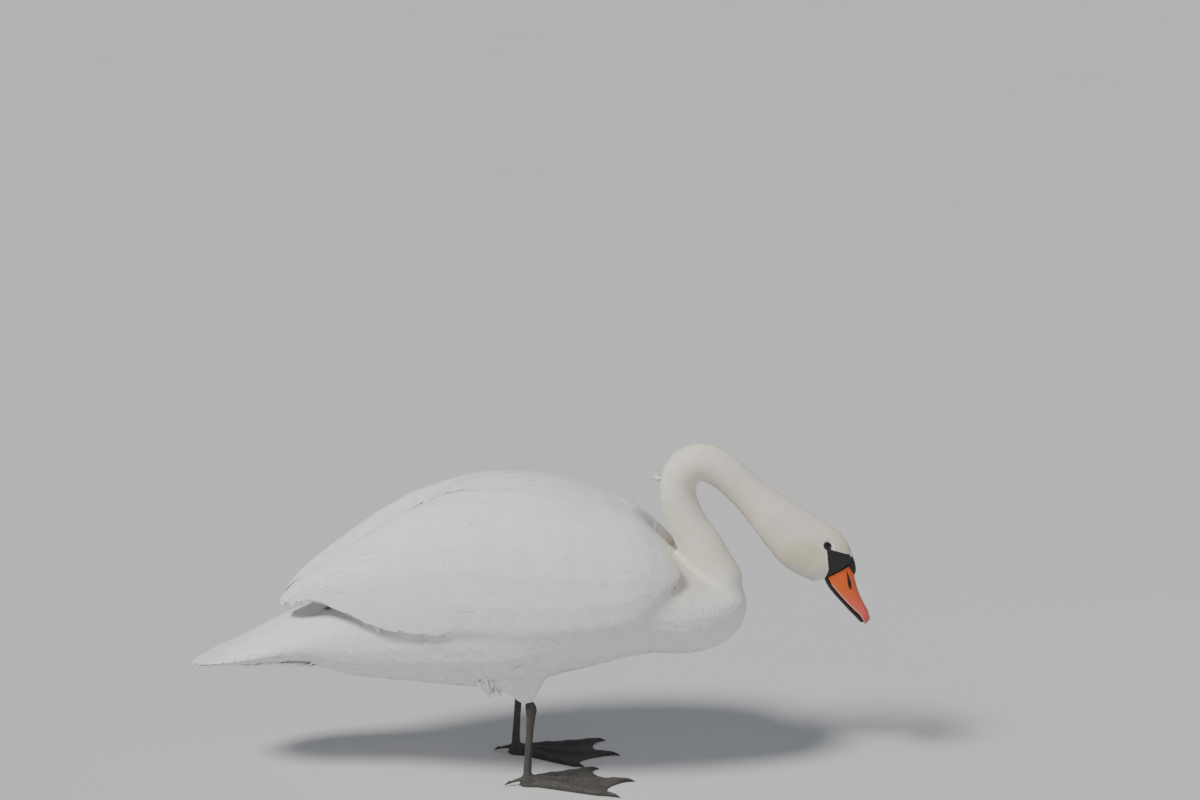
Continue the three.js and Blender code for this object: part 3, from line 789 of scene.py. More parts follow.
def loft(rings):
    """A closed body through rings of points, with each end closed round its middle."""
    first, last = (ring.mean(0, keepdims=True).repeat(len(ring), 0)
                   for ring in (rings[0], rings[-1]))
    return tube([first, *rings, last])


def ball(centre_s, centre_h, long, wide, high, turn):
    """A smooth lump in the bill's frame, its front end lowered by turn degrees."""
    angles = circle(40)
    turn_cos, turn_sin = math.cos(math.radians(turn)), math.sin(math.radians(turn))
    rings = []
    for lean in np.linspace(0.03, np.pi - 0.03, 26):
        a = -np.cos(lean) * long
        y = np.sin(lean) * wide * np.cos(angles)
        b = np.sin(lean) * high * np.sin(angles)
        rings.append(bill_place(centre_s + a * turn_cos + b * turn_sin, y,
                                centre_h - a * turn_sin + b * turn_cos))
    return loft(rings)


# ---------------------------------------------------------------- the bird's surface

FLESH = ("trunk", "neck_lower", "neck_upper", "head", "wing_right", "wing_left",
         "thigh_right", "thigh_left")
FEATHER_NODES = ("tail", "wing_tip_right", "wing_tip_left")
COAT_VOXEL = 2.1 * MM
SKIN_VOXEL = 4.2 * MM
BILL_VOXEL = 0.62 * MM
LEG_VOXEL = 1.15 * MM

# The neck's root, as a distance along the lie in metres, and how wide it is smoothed.
COLLAR_AT, COLLAR_WIDTH = 0.462, 0.022

# The skin's depth under the plumage, in millimetres, and the most of the bird's own
# thickness that it may take; then, in metres, the depth of the cores of wing tips and
# tail, and what holds the skin down at the neck's foot: its depth, and a step's most.
FACE_DEPTH, NECK_DEPTH, BODY_DEPTH, WING_DEPTH, BARE_DEPTH = 0.24, 0.38, 0.85, 2.2, 0.2
DEEPEST_SHARE = 0.36
WING_CORE_DEPTH, TAIL_CORE_DEPTH = 0.0007, 0.0009
CREASE_DEPTH, CREASE_PUSH = 0.0003, 0.0014

lie_steps = np.diff(LIE, axis=0)
lie_lengths = np.linalg.norm(lie_steps, axis=1)
lie_starts = np.concatenate([[0], np.cumsum(lie_lengths)[:-1]])


def along_lie(points):
    """Distance from the bill along the lie, its direction, and the angle round it."""
    flat = points[:, [0, 2]]
    gap = flat[:, None] - LIE[None, :-1]
    share = np.clip((gap * lie_steps).sum(-1) / lie_lengths ** 2, 0, 1)
    off = gap - share[..., None] * lie_steps
    best = np.argmin((off ** 2).sum(-1), axis=1)
    rows = np.arange(len(points))
    way = lie_steps[best] / lie_lengths[best][:, None]
    distance = lie_starts[best] + share[rows, best] * lie_lengths[best]
    side = off[rows, best]
    over = side[:, 1] * way[:, 0] - side[:, 0] * way[:, 1]
    direction = np.stack([way[:, 0], np.zeros(len(points)), way[:, 1]], -1)
    return distance, direction, np.arctan2(points[:, 1], over)


def shoulder_fill(side):
    """The plumage between a wing and the trunk, over the shoulder and its edges."""
    along, across = np.meshgrid(np.linspace(0.44, 0.985, 40), np.linspace(0.01, 0.99, 36),
                                indexing="ij")
    top = wing_point(along, across, -0.0006, 1.0, side)
    deep = top * (1, 0.5, 1) - np.array((0.075, 0, 0)) * smooth(along, 0.6, 0.98)[..., None]
    deep[..., 2] = mix(deep[..., 2], 0.25, 0.5)
    return shell_arrays(top, deep, flip=side < 0)


def mantle_fill():
    """The plumage of the back between the two wings, sinking to the neck's root."""
    x = np.linspace(-0.21, 0.168, 64)
    share = np.linspace(-1, 1, 25)
    grid = np.linspace(0.1, 1, 120)
    along = np.interp(x, wing_point(grid, 0.985, 0)[:, 0], grid)
    edge = wing_point(along, np.full(len(x), 0.975), -0.0003)
    sink = 0.040 * smooth(x, 0.10, 0.175) + 0.020 * smooth(-x, 0.08, 0.21)
    y = (edge[:, 1] + 0.003)[:, None] * share
    crown = 0.0035 * (1 - share ** 2)
    z = (edge[:, 2] - sink)[:, None] + crown
    top = np.stack([np.broadcast_to(x[:, None], y.shape), y, z], -1)
    return shell_arrays(top, top - (0, 0, 0.045))


def brow_fill():
    """The fullness of the forehead where it runs down to the knob."""
    return ball(*BROW)


def filled(*names):
    """Solids by name, with the plumage that closes the hollows between wings and back."""
    fills = [shoulder_fill(1), shoulder_fill(-1), mantle_fill(), brow_fill()]
    return joined([node_arrays(*names)] + [(points, halves(quads)) for points, quads in fills])


def softened(points, faces, rounds):
    """Smooths the joins of the wings with the body, and the neck's root."""
    seam = 1 - smooth(from_seam(points), 0.009, 0.026)
    distance = along_lie(points)[0]
    collar = np.exp(-((distance - COLLAR_AT) / COLLAR_WIDTH) ** 2) * (points[:, 0] > 0.19)
    return relaxed(points, faces, rounds, shrink=True, weight=np.maximum(seam, collar)[:, None])


def make_coat_form():
    """The plumage's outer surface, smooth, and the way it lies at each point."""
    points, faces = remeshed(*filled(*FLESH, *FEATHER_NODES), COAT_VOXEL)
    fine = smooth(points[:, 0], 0.30, 0.34) * smooth(points[:, 2], 0.24, 0.28)
    leg = (1 - smooth(points[:, 2], 0.15, 0.17)) * smooth(points[:, 0], -0.1, -0.06)
    soft = mix(1.0, 0.25, np.maximum(fine, leg))[:, None]
    points = softened(relaxed(points, faces, 44, weight=soft), faces, 90)
    form = Form(points, faces)
    thigh = (1 - smooth(points[:, 2], 0.17, 0.20)) * smooth(np.abs(points[:, 1]), 0.02, 0.035)
    thigh *= smooth(points[:, 0], -0.10, -0.07) * (1 - smooth(points[:, 0], 0.03, 0.06))
    distance, way, _ = along_lie(points)
    mantle = (1 - smooth(points[:, 0], 0.165, 0.19)) * (1 - smooth(distance, 0.45, 0.47))
    way = mix(way, np.array((-1, 0, 0)), mantle[:, None])
    way = mix(way, np.array((-0.35, 0, -0.94)), (thigh * 0.9)[:, None])
    way[:, 2] -= 0.12 * smooth(0.20 - points[:, 0], 0, 0.05)
    average = neighbour_sums(len(points), faces)
    for _ in range(30):
        way = way - form.point_normals * (way * form.point_normals).sum(-1, keepdims=True)
        way = unit(average(unit(way)) + way * 0.05)
    form.way = unit(way)
    return form


coat = make_coat_form()


def skin_depth(points):
    """How deep the skin lies under the plumage, in metres."""
    x, y, z = points.T * 1000
    distance = along_lie(points)[0]
    depth = mix(FACE_DEPTH, NECK_DEPTH, smooth(distance, 0.11, 0.2))
    depth = mix(depth, BODY_DEPTH, smooth(distance, 0.42, 0.60))
    rise = from_coverts(points)
    rear_wing = smooth(-x, 60, 120) * (1 - smooth(rise, 0.006, 0.012))
    between = smooth(-x, 205, 235) * (1 - smooth(np.abs(y), 55, 75)) * smooth(z, 200, 230)
    depth = mix(depth, WING_DEPTH, rear_wing) + between * np.minimum(rise * 1000, 8)
    bare = smooth(lore_depth(x, y, z), -1.0, 0.4) * (x > 380)
    return mix(depth, BARE_DEPTH, bare) * MM


def sunk_under_coat(points, faces):
    """Pushes the skin in where its faces' middles come too near the coat at the neck's foot."""
    neck_foot = (along_lie(points)[0] > 0.36) & (points[:, 0] > 0.12)
    for _ in range(4):
        middles = points[faces].mean(1)
        found, index = coat.nearest(middles)
        over = ((middles - found) * coat.face_normals[index]).sum(-1) + CREASE_DEPTH
        push = np.zeros(len(points))
        np.maximum.at(push, faces.ravel(), np.repeat(np.clip(over, 0, CREASE_PUSH), faces.shape[1]))
        points = points - normals_of(points, faces)[0] * (push * neck_foot)[:, None]
    return points


def make_skin():
    """One closed skin from head to rump, twice as fine on the head and again round its face."""
    points, faces = remeshed(*filled(*FLESH, "tail"), SKIN_VOXEL)
    points = softened(relaxed(points, faces, 12), faces, 24)
    for ahead_of, above in ((0.375, 0.262), (0.385, 0.264)):
        middles = points[faces].mean(1)
        points, faces = refined(points, faces, (middles[:, 0] > ahead_of) & (middles[:, 2] > above))
    found, index = coat.nearest(points)
    normals = coat.face_normals[index]
    depth = skin_depth(found)
    ray = coat.tree.ray_cast
    starts = (found - normals * 0.0004).tolist()
    ways = (-normals).tolist()
    thick = np.array([(ray(start, way)[3] or 0.3) for start, way in zip(starts, ways)])
    points = found - normals * np.minimum(depth, DEEPEST_SHARE * thick)[:, None]
    points = sunk_under_coat(points, faces)
    thin = 1 - smooth(from_edge(points), 0.004, 0.008)
    return relaxed(points, faces, 14, shrink=True, weight=thin[:, None]), faces


def refined(points, faces, chosen):
    """Splits the chosen quads in four and fans their neighbours to fit."""
    edge_middles = {}
    points = list(map(tuple, points))
    split = set(np.nonzero(chosen)[0].tolist())
    faces = faces.tolist()

    def middle(a, b):
        key = (min(a, b), max(a, b))
        if key not in edge_middles:
            edge_middles[key] = len(points)
            points.append(tuple((p + q) / 2 for p, q in zip(points[a], points[b])))
        return edge_middles[key]

    def centre_of(ring):
        points.append(tuple(sum(v) / len(ring) for v in zip(*(points[k] for k in ring))))
        return len(points) - 1

    made = []
    for i in sorted(split):
        a, b, c, d = faces[i]
        if c == d:
            continue
        ab, bc, cd, da = middle(a, b), middle(b, c), middle(c, d), middle(d, a)
        m = centre_of((a, b, c, d))
        made += [(a, ab, m, da), (ab, b, bc, m), (m, bc, c, cd), (da, m, cd, d)]
    for i, face in enumerate(faces):
        if i in split and face[2] != face[3]:
            continue
        ring = []
        for a, b in zip(face, face[1:] + face[:1]):
            ring.append(a)
            key = (min(a, b), max(a, b))
            if a != b and key in edge_middles:
                ring.append(edge_middles[key])
        if len(ring) == 4:
            made.append(tuple(ring))
            continue
        m = centre_of(ring)
        made += [(ring[k], ring[(k + 1) % len(ring)], m, m) for k in range(len(ring))]
    return np.array(points), np.array(made)


def quads_and_triangles(faces):
    """Faces parted into quads and triangles, which hold their last point twice."""
    flat = faces[:, 2] == faces[:, 3]
    return [faces[~flat], faces[flat][:, :3]]


# Lids, in millimetres: the corner towards the bill, half the opening each way, then the
# rings of the rim (distance past the opening, and proud of the eyeball) and of the skirt
# (distance past it, how far towards the skin, and proud of the skin).
LID_CORNER, LID_LONG, LID_HIGH = 0.8, 5.1, 4.5
LID_RIM = [(-0.1, -0.9), (0.0, 0.1), (0.2, 0.34), (0.5, 0.4), (0.85, 0.2)]
LID_SKIRT = [(1.3, 0.75, 0.1), (2.0, 1.0, 0.04), (3.4, 1.0, -0.4)]


def make_lids(side, surface):
    """A soft rim round the eyeball, with its corner towards the bill."""
    out, ahead, up = eye_axes(side)
    centre = EYE * (1, side, 1) - out * EYE_SINK
    turns = circle(64)
    corner = np.maximum(np.cos(turns), 0) ** 6 * LID_CORNER
    half_long, half_high = LID_LONG + corner, LID_HIGH
    rings = []
    for past, proud in LID_RIM:
        along, over = (half_long + past) * np.cos(turns), (half_high + past) * np.sin(turns)
        flat = (along[:, None] * ahead + over[:, None] * up) * MM
        rise = np.sqrt(np.maximum((EYE_RADIUS + proud * MM) ** 2 - (flat ** 2).sum(-1), 1e-8))
        rings.append(centre + flat + rise[:, None] * out)
    for past, share, proud in LID_SKIRT:
        flat = ((half_long + past) * np.cos(turns))[:, None] * ahead
        flat = (flat + ((half_high + past) * np.sin(turns))[:, None] * up) * MM
        start = centre + flat + out * 0.0045
        found, index = surface.nearest(start)
        on_skin = found + surface.face_normals[index] * proud * MM
        rings.append(mix(start + out * 0.0005, on_skin, share))
    return tube(rings, side)


# ---------------------------------------------------------------- vanes

# Kinds of vane: its rings along it, and its points across. Below them are outlines and
# the width of a vane's patch on the map.
FULL = {"rings": (0.10, 0.34, 0.58, 0.80, 0.94), "across": (-1, -0.5, 0, 0.5, 1)}
TUFT = {"rings": (0.30, 0.74), "across": (-1, 0, 1)}
LONG = {"rings": (0.04, 0.16, 0.30, 0.45, 0.60, 0.74, 0.86, 0.94, 0.985),
        "across": (-1, -0.5, 0, 0.5, 1)}
DOWN = {"blunt": 1.35, "narrow": 0.55, "start": 0.35}
WISP = {"blunt": 1.2, "narrow": 0.8, "start": 0.2}
QUILL = {"blunt": 2.4, "narrow": 0.6, "start": 0.5}
RECTRIX = {"blunt": 2.6, "narrow": 0.55, "start": 0.45}
PATCH = 0.003

# A vane whose spine is stretched or squeezed past these, where a crease tears it, is left out.
MOST_STRETCH, LEAST_STRETCH = 1.6, 0.4


def outline(share, blunt=2.2, narrow=0.35, start=0.55):
    """Half a vane's width along it, as a share of its widest."""
    widening = mix(narrow, 1.0, smooth(share, 0.0, start))
    reach = np.clip((share - start) / (1 - start), 0, 1)
    return widening * (1 - reach ** blunt) ** (1 / blunt)


def vanes(name, kind, place, roots_uv, lengths, widths, finish, thick, shape=(),
          root_depth=2.0, tip_lift=0.4, camber=0.3, ragged=0.05, bend=0.05):
    """Closed thin vanes. place takes distances along and across each vane and a lift, all
    in metres, and gives points. Thickness and the depths after it are in millimetres."""
    count = len(lengths)
    rings, across = np.array(kind["rings"]), np.array(kind["across"])
    steps, sides = len(rings), len(across)
    half = outline(rings, **dict(shape))[None, :, None] * widths[:, None, None] / 2
    wear = 1 + ragged * random.normal(size=(count, steps, sides))
    lateral = half * across * wear
    sweep = bend * random.normal(size=(count, 1, 1)) * lengths[:, None, None]
    along = rings[None, :, None] * lengths[:, None, None] * np.ones((count, steps, sides))
    along = along - (np.abs(across) ** 2)[None, None] * 0.05 * widths[:, None, None]
    lateral = lateral + sweep * (rings[None, :, None] ** 2)
    tips_up = tip_lift * (0.6 + 0.8 * random.random(size=(count, 1, 1)))
    rise = (-root_depth * (1 - rings[None, :, None]) ** 1.4 + tips_up
            - camber * (across ** 2)[None, None] * (0.3 + 0.7 * rings[None, :, None]))
    lift = rise * MM * np.ones((count, steps, sides))
    ends_along = np.stack([np.zeros(count), lengths], -1)[..., None]
    ends_across = np.stack([np.zeros(count), sweep[:, 0, 0]], -1)[..., None]
    ends_lift = np.stack([np.full(count, -root_depth), tips_up[:, 0, 0] - camber * 0.2], -1)
    ends_lift = ends_lift[..., None] * MM
    middle = sides // 2
    under = [0, middle, -1]
    under_lift = lift[:, :, under]
    under_lift[:, :, 1] -= thick * MM

    def strung(sheet, ends, under_sheet):
        """Each vane's values in one row: upper sheet, its ends, underside, its ends."""
        return np.concatenate([v.reshape(count, -1) for v in (sheet, ends, under_sheet, ends)], 1)

    all_along = strung(along, ends_along, along[:, :, under])
    all_across = strung(lateral, ends_across, lateral[:, :, under])
    points = place(all_along, all_across, strung(lift, ends_lift, under_lift))
    spine = points[:, middle:steps * sides:sides]
    stretch = np.linalg.norm(np.diff(spine, axis=1), axis=-1) / np.diff(along[:, :, middle], axis=1)
    sound = (stretch < MOST_STRETCH).all(1) & (stretch > LEAST_STRETCH).all(1)
    points, all_along, all_across = points[sound], all_along[sound], all_across[sound]
    lengths, widths, roots_uv = lengths[sound], widths[sound], roots_uv[sound]
    count = len(lengths)
    top_quads, top_ends = sheet_faces(steps, sides)
    under_quads, under_ends = sheet_faces(steps, 3)
    offset = steps * sides + 2
    quads = np.concatenate([top_quads, under_quads[:, ::-1] + offset])
    ends = np.concatenate([top_ends, under_ends[:, ::-1] + offset])
    size = all_along.shape[1]
    shift = (np.arange(count) * size)[:, None, None]
    faces = [(quads[None] + shift).reshape(-1, 4), (ends[None] + shift).reshape(-1, 3)]
    made = build(name, points.reshape(-1, 3), faces, finish)
    patch = np.stack([all_across / widths[:, None], all_along / lengths[:, None] - 0.5], -1) * PATCH
    add_map(made.data, "OFBake", (roots_uv[:, None] + patch).reshape(-1, 2))
    local = np.stack([0.5 + all_across * VANE_SCALE, all_along * VANE_SCALE], -1)
    add_map(made.data, "vane", local.reshape(-1, 2))
    tone = made.data.attributes.new("tone", "FLOAT", "POINT")
    tone.data.foreach_set("value", np.repeat(random.random(count), size).astype(np.float32))
    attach(made, "root")
    return made


def sheet_faces(steps, sides):
    """Faces of a sheet of rings, with its two end points after them."""
    grid = np.arange(steps * sides).reshape(steps, sides)
    root, tip = steps * sides, steps * sides + 1
    first = np.stack([np.full(sides - 1, root), grid[0, :-1], grid[0, 1:]], -1)
    last = np.stack([grid[-1, :-1], np.full(sides - 1, tip), grid[-1, 1:]], -1)
    return grid_quads(grid), np.concatenate([first, last])


def add_map(mesh, name, places):
    """A map on a mesh, from a place for each of its points."""
    corners = read_out(mesh.loops, "vertex_index", 1, np.int32)[:, 0]
    layer = mesh.uv_layers.new(name=name)
    layer.uv.foreach_set("vector", places[corners].astype(np.float32).ravel())


def scatter(form, spacing, wanted):
    """Places spread evenly over a form, spacing metres apart, with their faces."""
    corners = form.points[form.faces]
    centres = corners.mean(1)
    chosen = np.nonzero(wanted(centres))[0]
    corners, centres = corners[chosen], centres[chosen]
    diagonals = corners[:, 2] - corners[:, 0], corners[:, 3] - corners[:, 1]
    area = np.linalg.norm(np.cross(*diagonals), axis=1) / 2
    gaps = spacing(centres)
    weight = area / gaps ** 2
    count = int(weight.sum() * 4)
    picked = random.choice(len(weight), count, p=weight / weight.sum())
    u, v = random.random((2, count, 1))
    a, b, c, d = (corners[picked, i] for i in range(4))
    places = mix(mix(a, b, u), mix(d, c, u), v)
    tree = tree_of(places)
    alive = np.ones(count, bool)
    gaps = gaps[picked]
    for i in range(count):
        if alive[i]:
            for _, j, _ in tree.find_range(places[i], gaps[i]):
                alive[j] = j == i
    return places[alive], chosen[picked[alive]]


def laid_out(roots, ways, cross, along, across):
    """Places at distances along and across each vane from its root."""
    return roots[:, None] + ways[:, None] * along[..., None] + cross[:, None] * across[..., None]


def lay_on(form, roots, faces, turn=0.12):
    """A place function for vanes that hug a form and follow its lie."""
    normals = form.face_normals[faces]
    ways = form.way[form.faces[faces]].mean(1)
    ways = unit(ways - normals * (ways * normals).sum(-1, keepdims=True))
    cross = np.cross(normals, ways)
    angle = turn * random.normal(size=(len(roots), 1))
    ahead = ways * np.cos(angle) + cross * np.sin(angle)
    cross = cross * np.cos(angle) - ways * np.sin(angle)

    def place(along, across, lift):
        return form.settle(laid_out(roots, ahead, cross, along, across), lift)

    return place


def stand_out(roots, ways, normals, droop):
    """A place function for loose vanes that leave the form, their tips dropped by droop."""
    cross = unit(np.cross(normals, ways))
    over = np.cross(ways, cross)

    def place(along, across, lift):
        share = along / along.max(1, keepdims=True)
        points = laid_out(roots, ways, cross, along, across) + over[:, None] * lift[..., None]
        points[..., 2] -= droop * share ** 2
        return points

    return place


def round_unwrap(points, start, end):
    """Angle round the lie and distance along it, as a map from 0 to 1."""
    distance, _, angle = along_lie(points)
    return np.stack([0.5 + angle / (2 * np.pi) * 0.98,
                     0.01 + 0.98 * np.clip((distance - start) / (end - start), 0, 1)], -1)


def trunk_unwrap(points):
    """Angle round the trunk, and distance from the front of the breast over its dome."""
    reach = np.clip((points[:, 0] - 0.2) / 0.103, 0, 1)
    behind = np.where(points[:, 0] > 0.2, np.arccos(reach) * 0.10, 0.157 + 0.2 - points[:, 0])
    angle = np.arctan2(points[:, 1], points[:, 2] - 0.235)
    return np.stack([0.5 + angle / (2 * np.pi) * 0.98, 0.01 + 0.98 * behind / 0.86], -1)


# ---------------------------------------------------------------- wings and tail


def across_scale(along, across):
    """Metres per unit across a wing."""
    step = 0.01
    a, b = wing_point(along, across - step, 0.0), wing_point(along, across + step, 0.0)
    return np.maximum(np.linalg.norm(b - a, axis=-1) / (2 * step), 0.01)


def wing_rows(row_list):
    """Roots of staggered rows of vanes: place along and across, length and width."""
    grid = np.linspace(0.0, 1.0, 61)
    found = []
    for row, (behind, length, width, gap) in enumerate(row_list):
        total = wing_front(grid) - WING_TIP
        along = 1 - behind / total
        line = wing_point(np.maximum(along, 0.01), grid, 0.0)
        arc = np.concatenate([[0], np.cumsum(np.linalg.norm(np.diff(line, axis=0), axis=1))])
        count = max(3, int(round(arc[-1] / (gap * MM))))
        spots = (np.arange(count) + 0.25 + 0.5 * (row % 2)) / count * arc[-1]
        spots = spots + random.normal(size=count) * gap * MM * 0.12
        across = np.interp(spots, arc, grid)
        run = np.interp(across, grid, total)
        here = 1 - (behind + random.normal(size=count) * length * 0.03) / run
        reach = np.minimum(length * (1 + 0.06 * random.normal(size=count)), here * run * 0.985
                           - 3 * random.random(count))
        found.append(np.stack([here, across, reach * MM,
                               width * MM * (1 + 0.05 * random.normal(size=count)), run * MM], -1))
    return np.concatenate(found)


def wing_coat(name, rows, kind, side, face, finish, thick, **shape):
    """Rows of vanes over a wing's outer face (0) or its inner one (1)."""
    found = wing_rows(rows)
    along_0, across_0, lengths, _, runs = found.T
    root_x = WING_TIP + along_0 * runs * 1000
    low, high = covert_limits(root_x)
    keep = (lengths > 0.012) & (across_0 > low) & (across_0 < high) & (root_x < COVERT_START + 8)
    along_0, across_0, lengths, widths, runs = found[keep].T.copy()
    hand = side * (1 - 2 * face)

    def place(along, across, lift):
        here = along_0[:, None] - along / runs[:, None]
        near = across_0[:, None] * np.ones_like(here)
        near = near + hand * across / across_scale(here, near)
        points = wing_point(here, near, lift, face, side)
        if face == 0 and kind is FULL:
            fit = smooth(points[..., 0], -0.15, -0.10)
            chosen = fit > 0
            base = wing_point(here, near, 0.0, 0, side)[chosen]
            settled = coat.settle(base, lift[chosen])
            points[chosen] = mix(points[chosen], settled, fit[chosen][:, None])
        return points

    uv = np.stack([0.02 + 0.96 * across_0, 0.02 + 0.96 * np.clip(along_0, 0, 1)], -1)
    return vanes(name, kind, place, uv, lengths, widths, finish, thick, **shape)


def steps(start, stop, gap, length, width, spread):
    """Rows of vanes behind one another: where each starts, its vanes' length and width."""
    count = int((stop - start) / gap)
    shares = (np.arange(count) + 0.5) / count
    return [(mix(start, stop, t), mix(*length, t), mix(*width, t), mix(*spread, t))
            for t in shares]


def wing_bed(name, side, finish):
    """The closed core that a wing tip's flight feathers lie on."""
    along, across = np.meshgrid(np.linspace(0.03, 0.36, 26), np.linspace(0.03, 0.97, 22),
                                indexing="ij")
    outer = wing_point(along, across, -WING_CORE_DEPTH, 0.0, side)
    inner = wing_point(along, across, -WING_CORE_DEPTH, 1.0, side)
    return shell(name, outer, inner, finish, flip=side < 0)


def shell(name, outer, inner, finish, flip=False):
    """A closed thin body between two grids of points."""
    points, faces = shell_arrays(outer, inner, flip)
    made = build(name, points, [faces], finish)
    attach(made, "root")
    return made


def tail_point(x, share, face, proud):
    """A place on the tail: x in metres, share of the half width, top (1) or underside (-1)."""
    top, half, middle, under, fullness = tail_at(x * 1000)
    share = np.clip(share, -1, 1)
    rise = np.where(face > 0, top - middle, middle - under)
    high = (1 - np.abs(share) ** fullness) ** (1 / fullness)
    return np.stack([x * 1000, half * share, middle + face * (rise * high + proud * 1000)], -1) * MM


# The tail's long feathers: distances of their tips from the middle in millimetres, and
# where their roots lie, their width, and the step between them in the stack, in metres.
RECTRICES = [2.5, 8.5, 15, 21.5, 28.5, 35.5, 42.5, 49.5, 56, 62, 67]
TAIL_ROOT = -0.296
RECTRIX_WIDTH = 0.027
RECTRIX_STEP = 0.00016


def tail_coat(name, face, finish):
    """The tail's long feathers, the middle pair on top of the others."""
    middles, stack = [], []
    for i, y in reversed(list(enumerate(RECTRICES))):
        for side in (-1, 1):
            middles.append(side * y * MM)
            stack.append(i + (0.4 if side > 0 else 0))
    middles, stack = np.array(middles), np.array(stack)
    outline_x = np.linspace(-0.468, -0.35, 80)
    half = tail_at(outline_x * 1000)[1] * MM
    tips = np.interp(np.abs(middles), half, outline_x) + 0.003
    lengths = TAIL_ROOT - tips
    widths = np.full(len(tips), RECTRIX_WIDTH)

    def place(along, across, lift):
        share = along / lengths[:, None]
        y = middles[:, None] * mix(0.62, 1.0, np.sqrt(np.clip(share, 0, 1))) - face * across
        x = TAIL_ROOT - along
        half_here = tail_at(x * 1000)[1] * MM
        lower = stack[:, None] * RECTRIX_STEP * (1 - share) * (1 if face > 0 else -1)
        return tail_point(x, y / np.maximum(half_here, 0.004), face, lift - lower)

    uv = np.stack([0.5 + middles / 0.16, np.full(len(tips), 0.5) + stack / 40], -1)
    return vanes(name, LONG, place, uv, lengths, widths, finish, 0.45, root_depth=2.2,
                 tip_lift=0.25, camber=0.35, ragged=0.012, bend=0.006, shape=RECTRIX)


def tail_bed(finish):
    """The closed core that the tail's long feathers lie on."""
    x, share = np.meshgrid(np.linspace(-0.455, -0.285, 26), np.linspace(-0.93, 0.93, 22),
                           indexing="ij")
    top, under = (tail_point(x, share, face, -TAIL_CORE_DEPTH) for face in (1, -1))
    return shell("tail_core", top, under, finish, flip=True)


# ---------------------------------------------------------------- bill and eyes

bill_at = reader(BILL)


def bill_rings(tip, section):
    """Sections of the bill from its base to a rounded tip."""
    rounding = 1 - np.sin(np.linspace(0, 0.985, 22) * np.pi / 2)
    stations = np.concatenate([np.linspace(0.3, tip - BILL_ROUND, 44)[:-1],
                               tip - BILL_ROUND * rounding])
    angles = circle(72)
    rings = []
    for s in stations:
        reach = max(0.0, (s - tip + BILL_ROUND) / BILL_ROUND)
        round_off = max(0.05, (1 - reach ** 2.4) ** (1 / 2.2))
        high = max(BILL_THIN, round_off ** 0.7)
        rings.append(section(s, bill_at(np.array(s)), round_off, high, angles))
    return rings


def upper_section(s, at, round_off, high, angles):
    """A ring of the upper bill: round over the ridge, nearly flat below."""
    ridge, half, gape = at
    swing = np.sin(angles)
    up = np.maximum(swing, 0) ** 0.9 * (ridge - gape) * high
    waist = 1 - 0.05 * np.sin(np.pi * np.clip(up / (ridge - gape), 0, 1)) * smooth(s, 18, 50)
    y = half * round_off * signed_power(np.cos(angles), 0.85) * waist
    return bill_place(s, y, gape + np.where(swing > 0, up, 0.5 * swing))


def lower_section(s, at, round_off, high, angles):
    """A ring of the lower bill: a shallow trough under the gape."""
    _, half, gape = at
    swing = np.sin(angles)
    trough = 0.9 * np.cos(angles) ** 2
    deep = MANDIBLE_DEPTH * high * swing * (0.75 + 0.25 * trough)
    drop = np.where(swing < 0, deep, 0.4 * swing)
    y = (half - MANDIBLE_INSET) * round_off * signed_power(np.cos(angles), 0.9)
    return bill_place(s, y, gape - LIP_GAP + drop)


def make_upper_bill(finish):
    """Upper bill, knob and nail in one skin, with nostrils, a lip and the nail's crease."""
    body = loft(bill_rings(BILL_TIP, upper_section))
    points, faces = remeshed(*joined([body, ball(*KNOB), ball(*NAIL)]), BILL_VOXEL)
    points = relaxed(points, faces, 8, shrink=True)
    x, y, z = points.T * 1000
    s, h = bill_frame(x, z)
    normals = normals_of(points, faces)[0]
    along, over = nostril_frame(s, h)
    hole = np.hypot((s - 25.0) / 5.6, over / 0.85)
    slit = np.hypot(along, over)
    dent = (1 - smooth(hole, 0.25, 1.1)) * 2.2 + (1 - smooth(slit, 0.7, 1.25)) * 0.45
    dent = -dent * smooth(np.abs(y), 5.5, 8)
    over_gape = h - gape_height(s)
    lip = np.exp(-((over_gape - 0.9) / 0.8) ** 2) * 0.32
    groove = -np.exp(-((over_gape - 2.6) / 0.7) ** 2) * 0.14
    nail_edge = np.abs(np.hypot(np.maximum(0, 82 - s) * 0.9, y * 0.86) - 5.2)
    crease = -np.exp(-(nail_edge / 0.55) ** 2) * 0.3 * smooth(s, 76, 79)
    points = points + normals * ((dent + lip + groove + crease) * MM)[:, None]
    return piece("bill_upper_horn", points, faces, finish, "orange_bill",
                 "bill_upper", "bill_knob", "bill_nail")


def piece(name, points, faces, finish, slot_name, *nodes):
    """A part of the bird, which stands for the named nodes where there are any."""
    groups = faces if isinstance(faces, list) else [faces]
    made = build(name, points, groups, finish)
    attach(made, "root")
    if nodes:
        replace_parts(made, *nodes)
    return made


def make_eye(side, finish):
    """An eyeball with a clear bulge where it looks out."""
    out, ahead, up = eye_axes(side)
    centre = EYE * (1, side, 1) - out * EYE_SINK
    turns = circle(48)
    ring = np.cos(turns)[:, None] * ahead + np.sin(turns)[:, None] * up
    rings = []
    for lean in np.linspace(0.02, np.pi - 0.02, 34):
        bulge = 0.00035 * np.exp(-(lean / 0.5) ** 2)
        rings.append(centre + (EYE_RADIUS + bulge) * (math.cos(lean) * out + math.sin(lean) * ring))
    points, faces = loft(rings)
    return piece(f"eyeball_{HANDS[side]}", points, faces if side > 0 else faces[:, ::-1],
                 finish, "eye", f"eye_{HANDS[side]}")


# ---------------------------------------------------------------- legs and feet

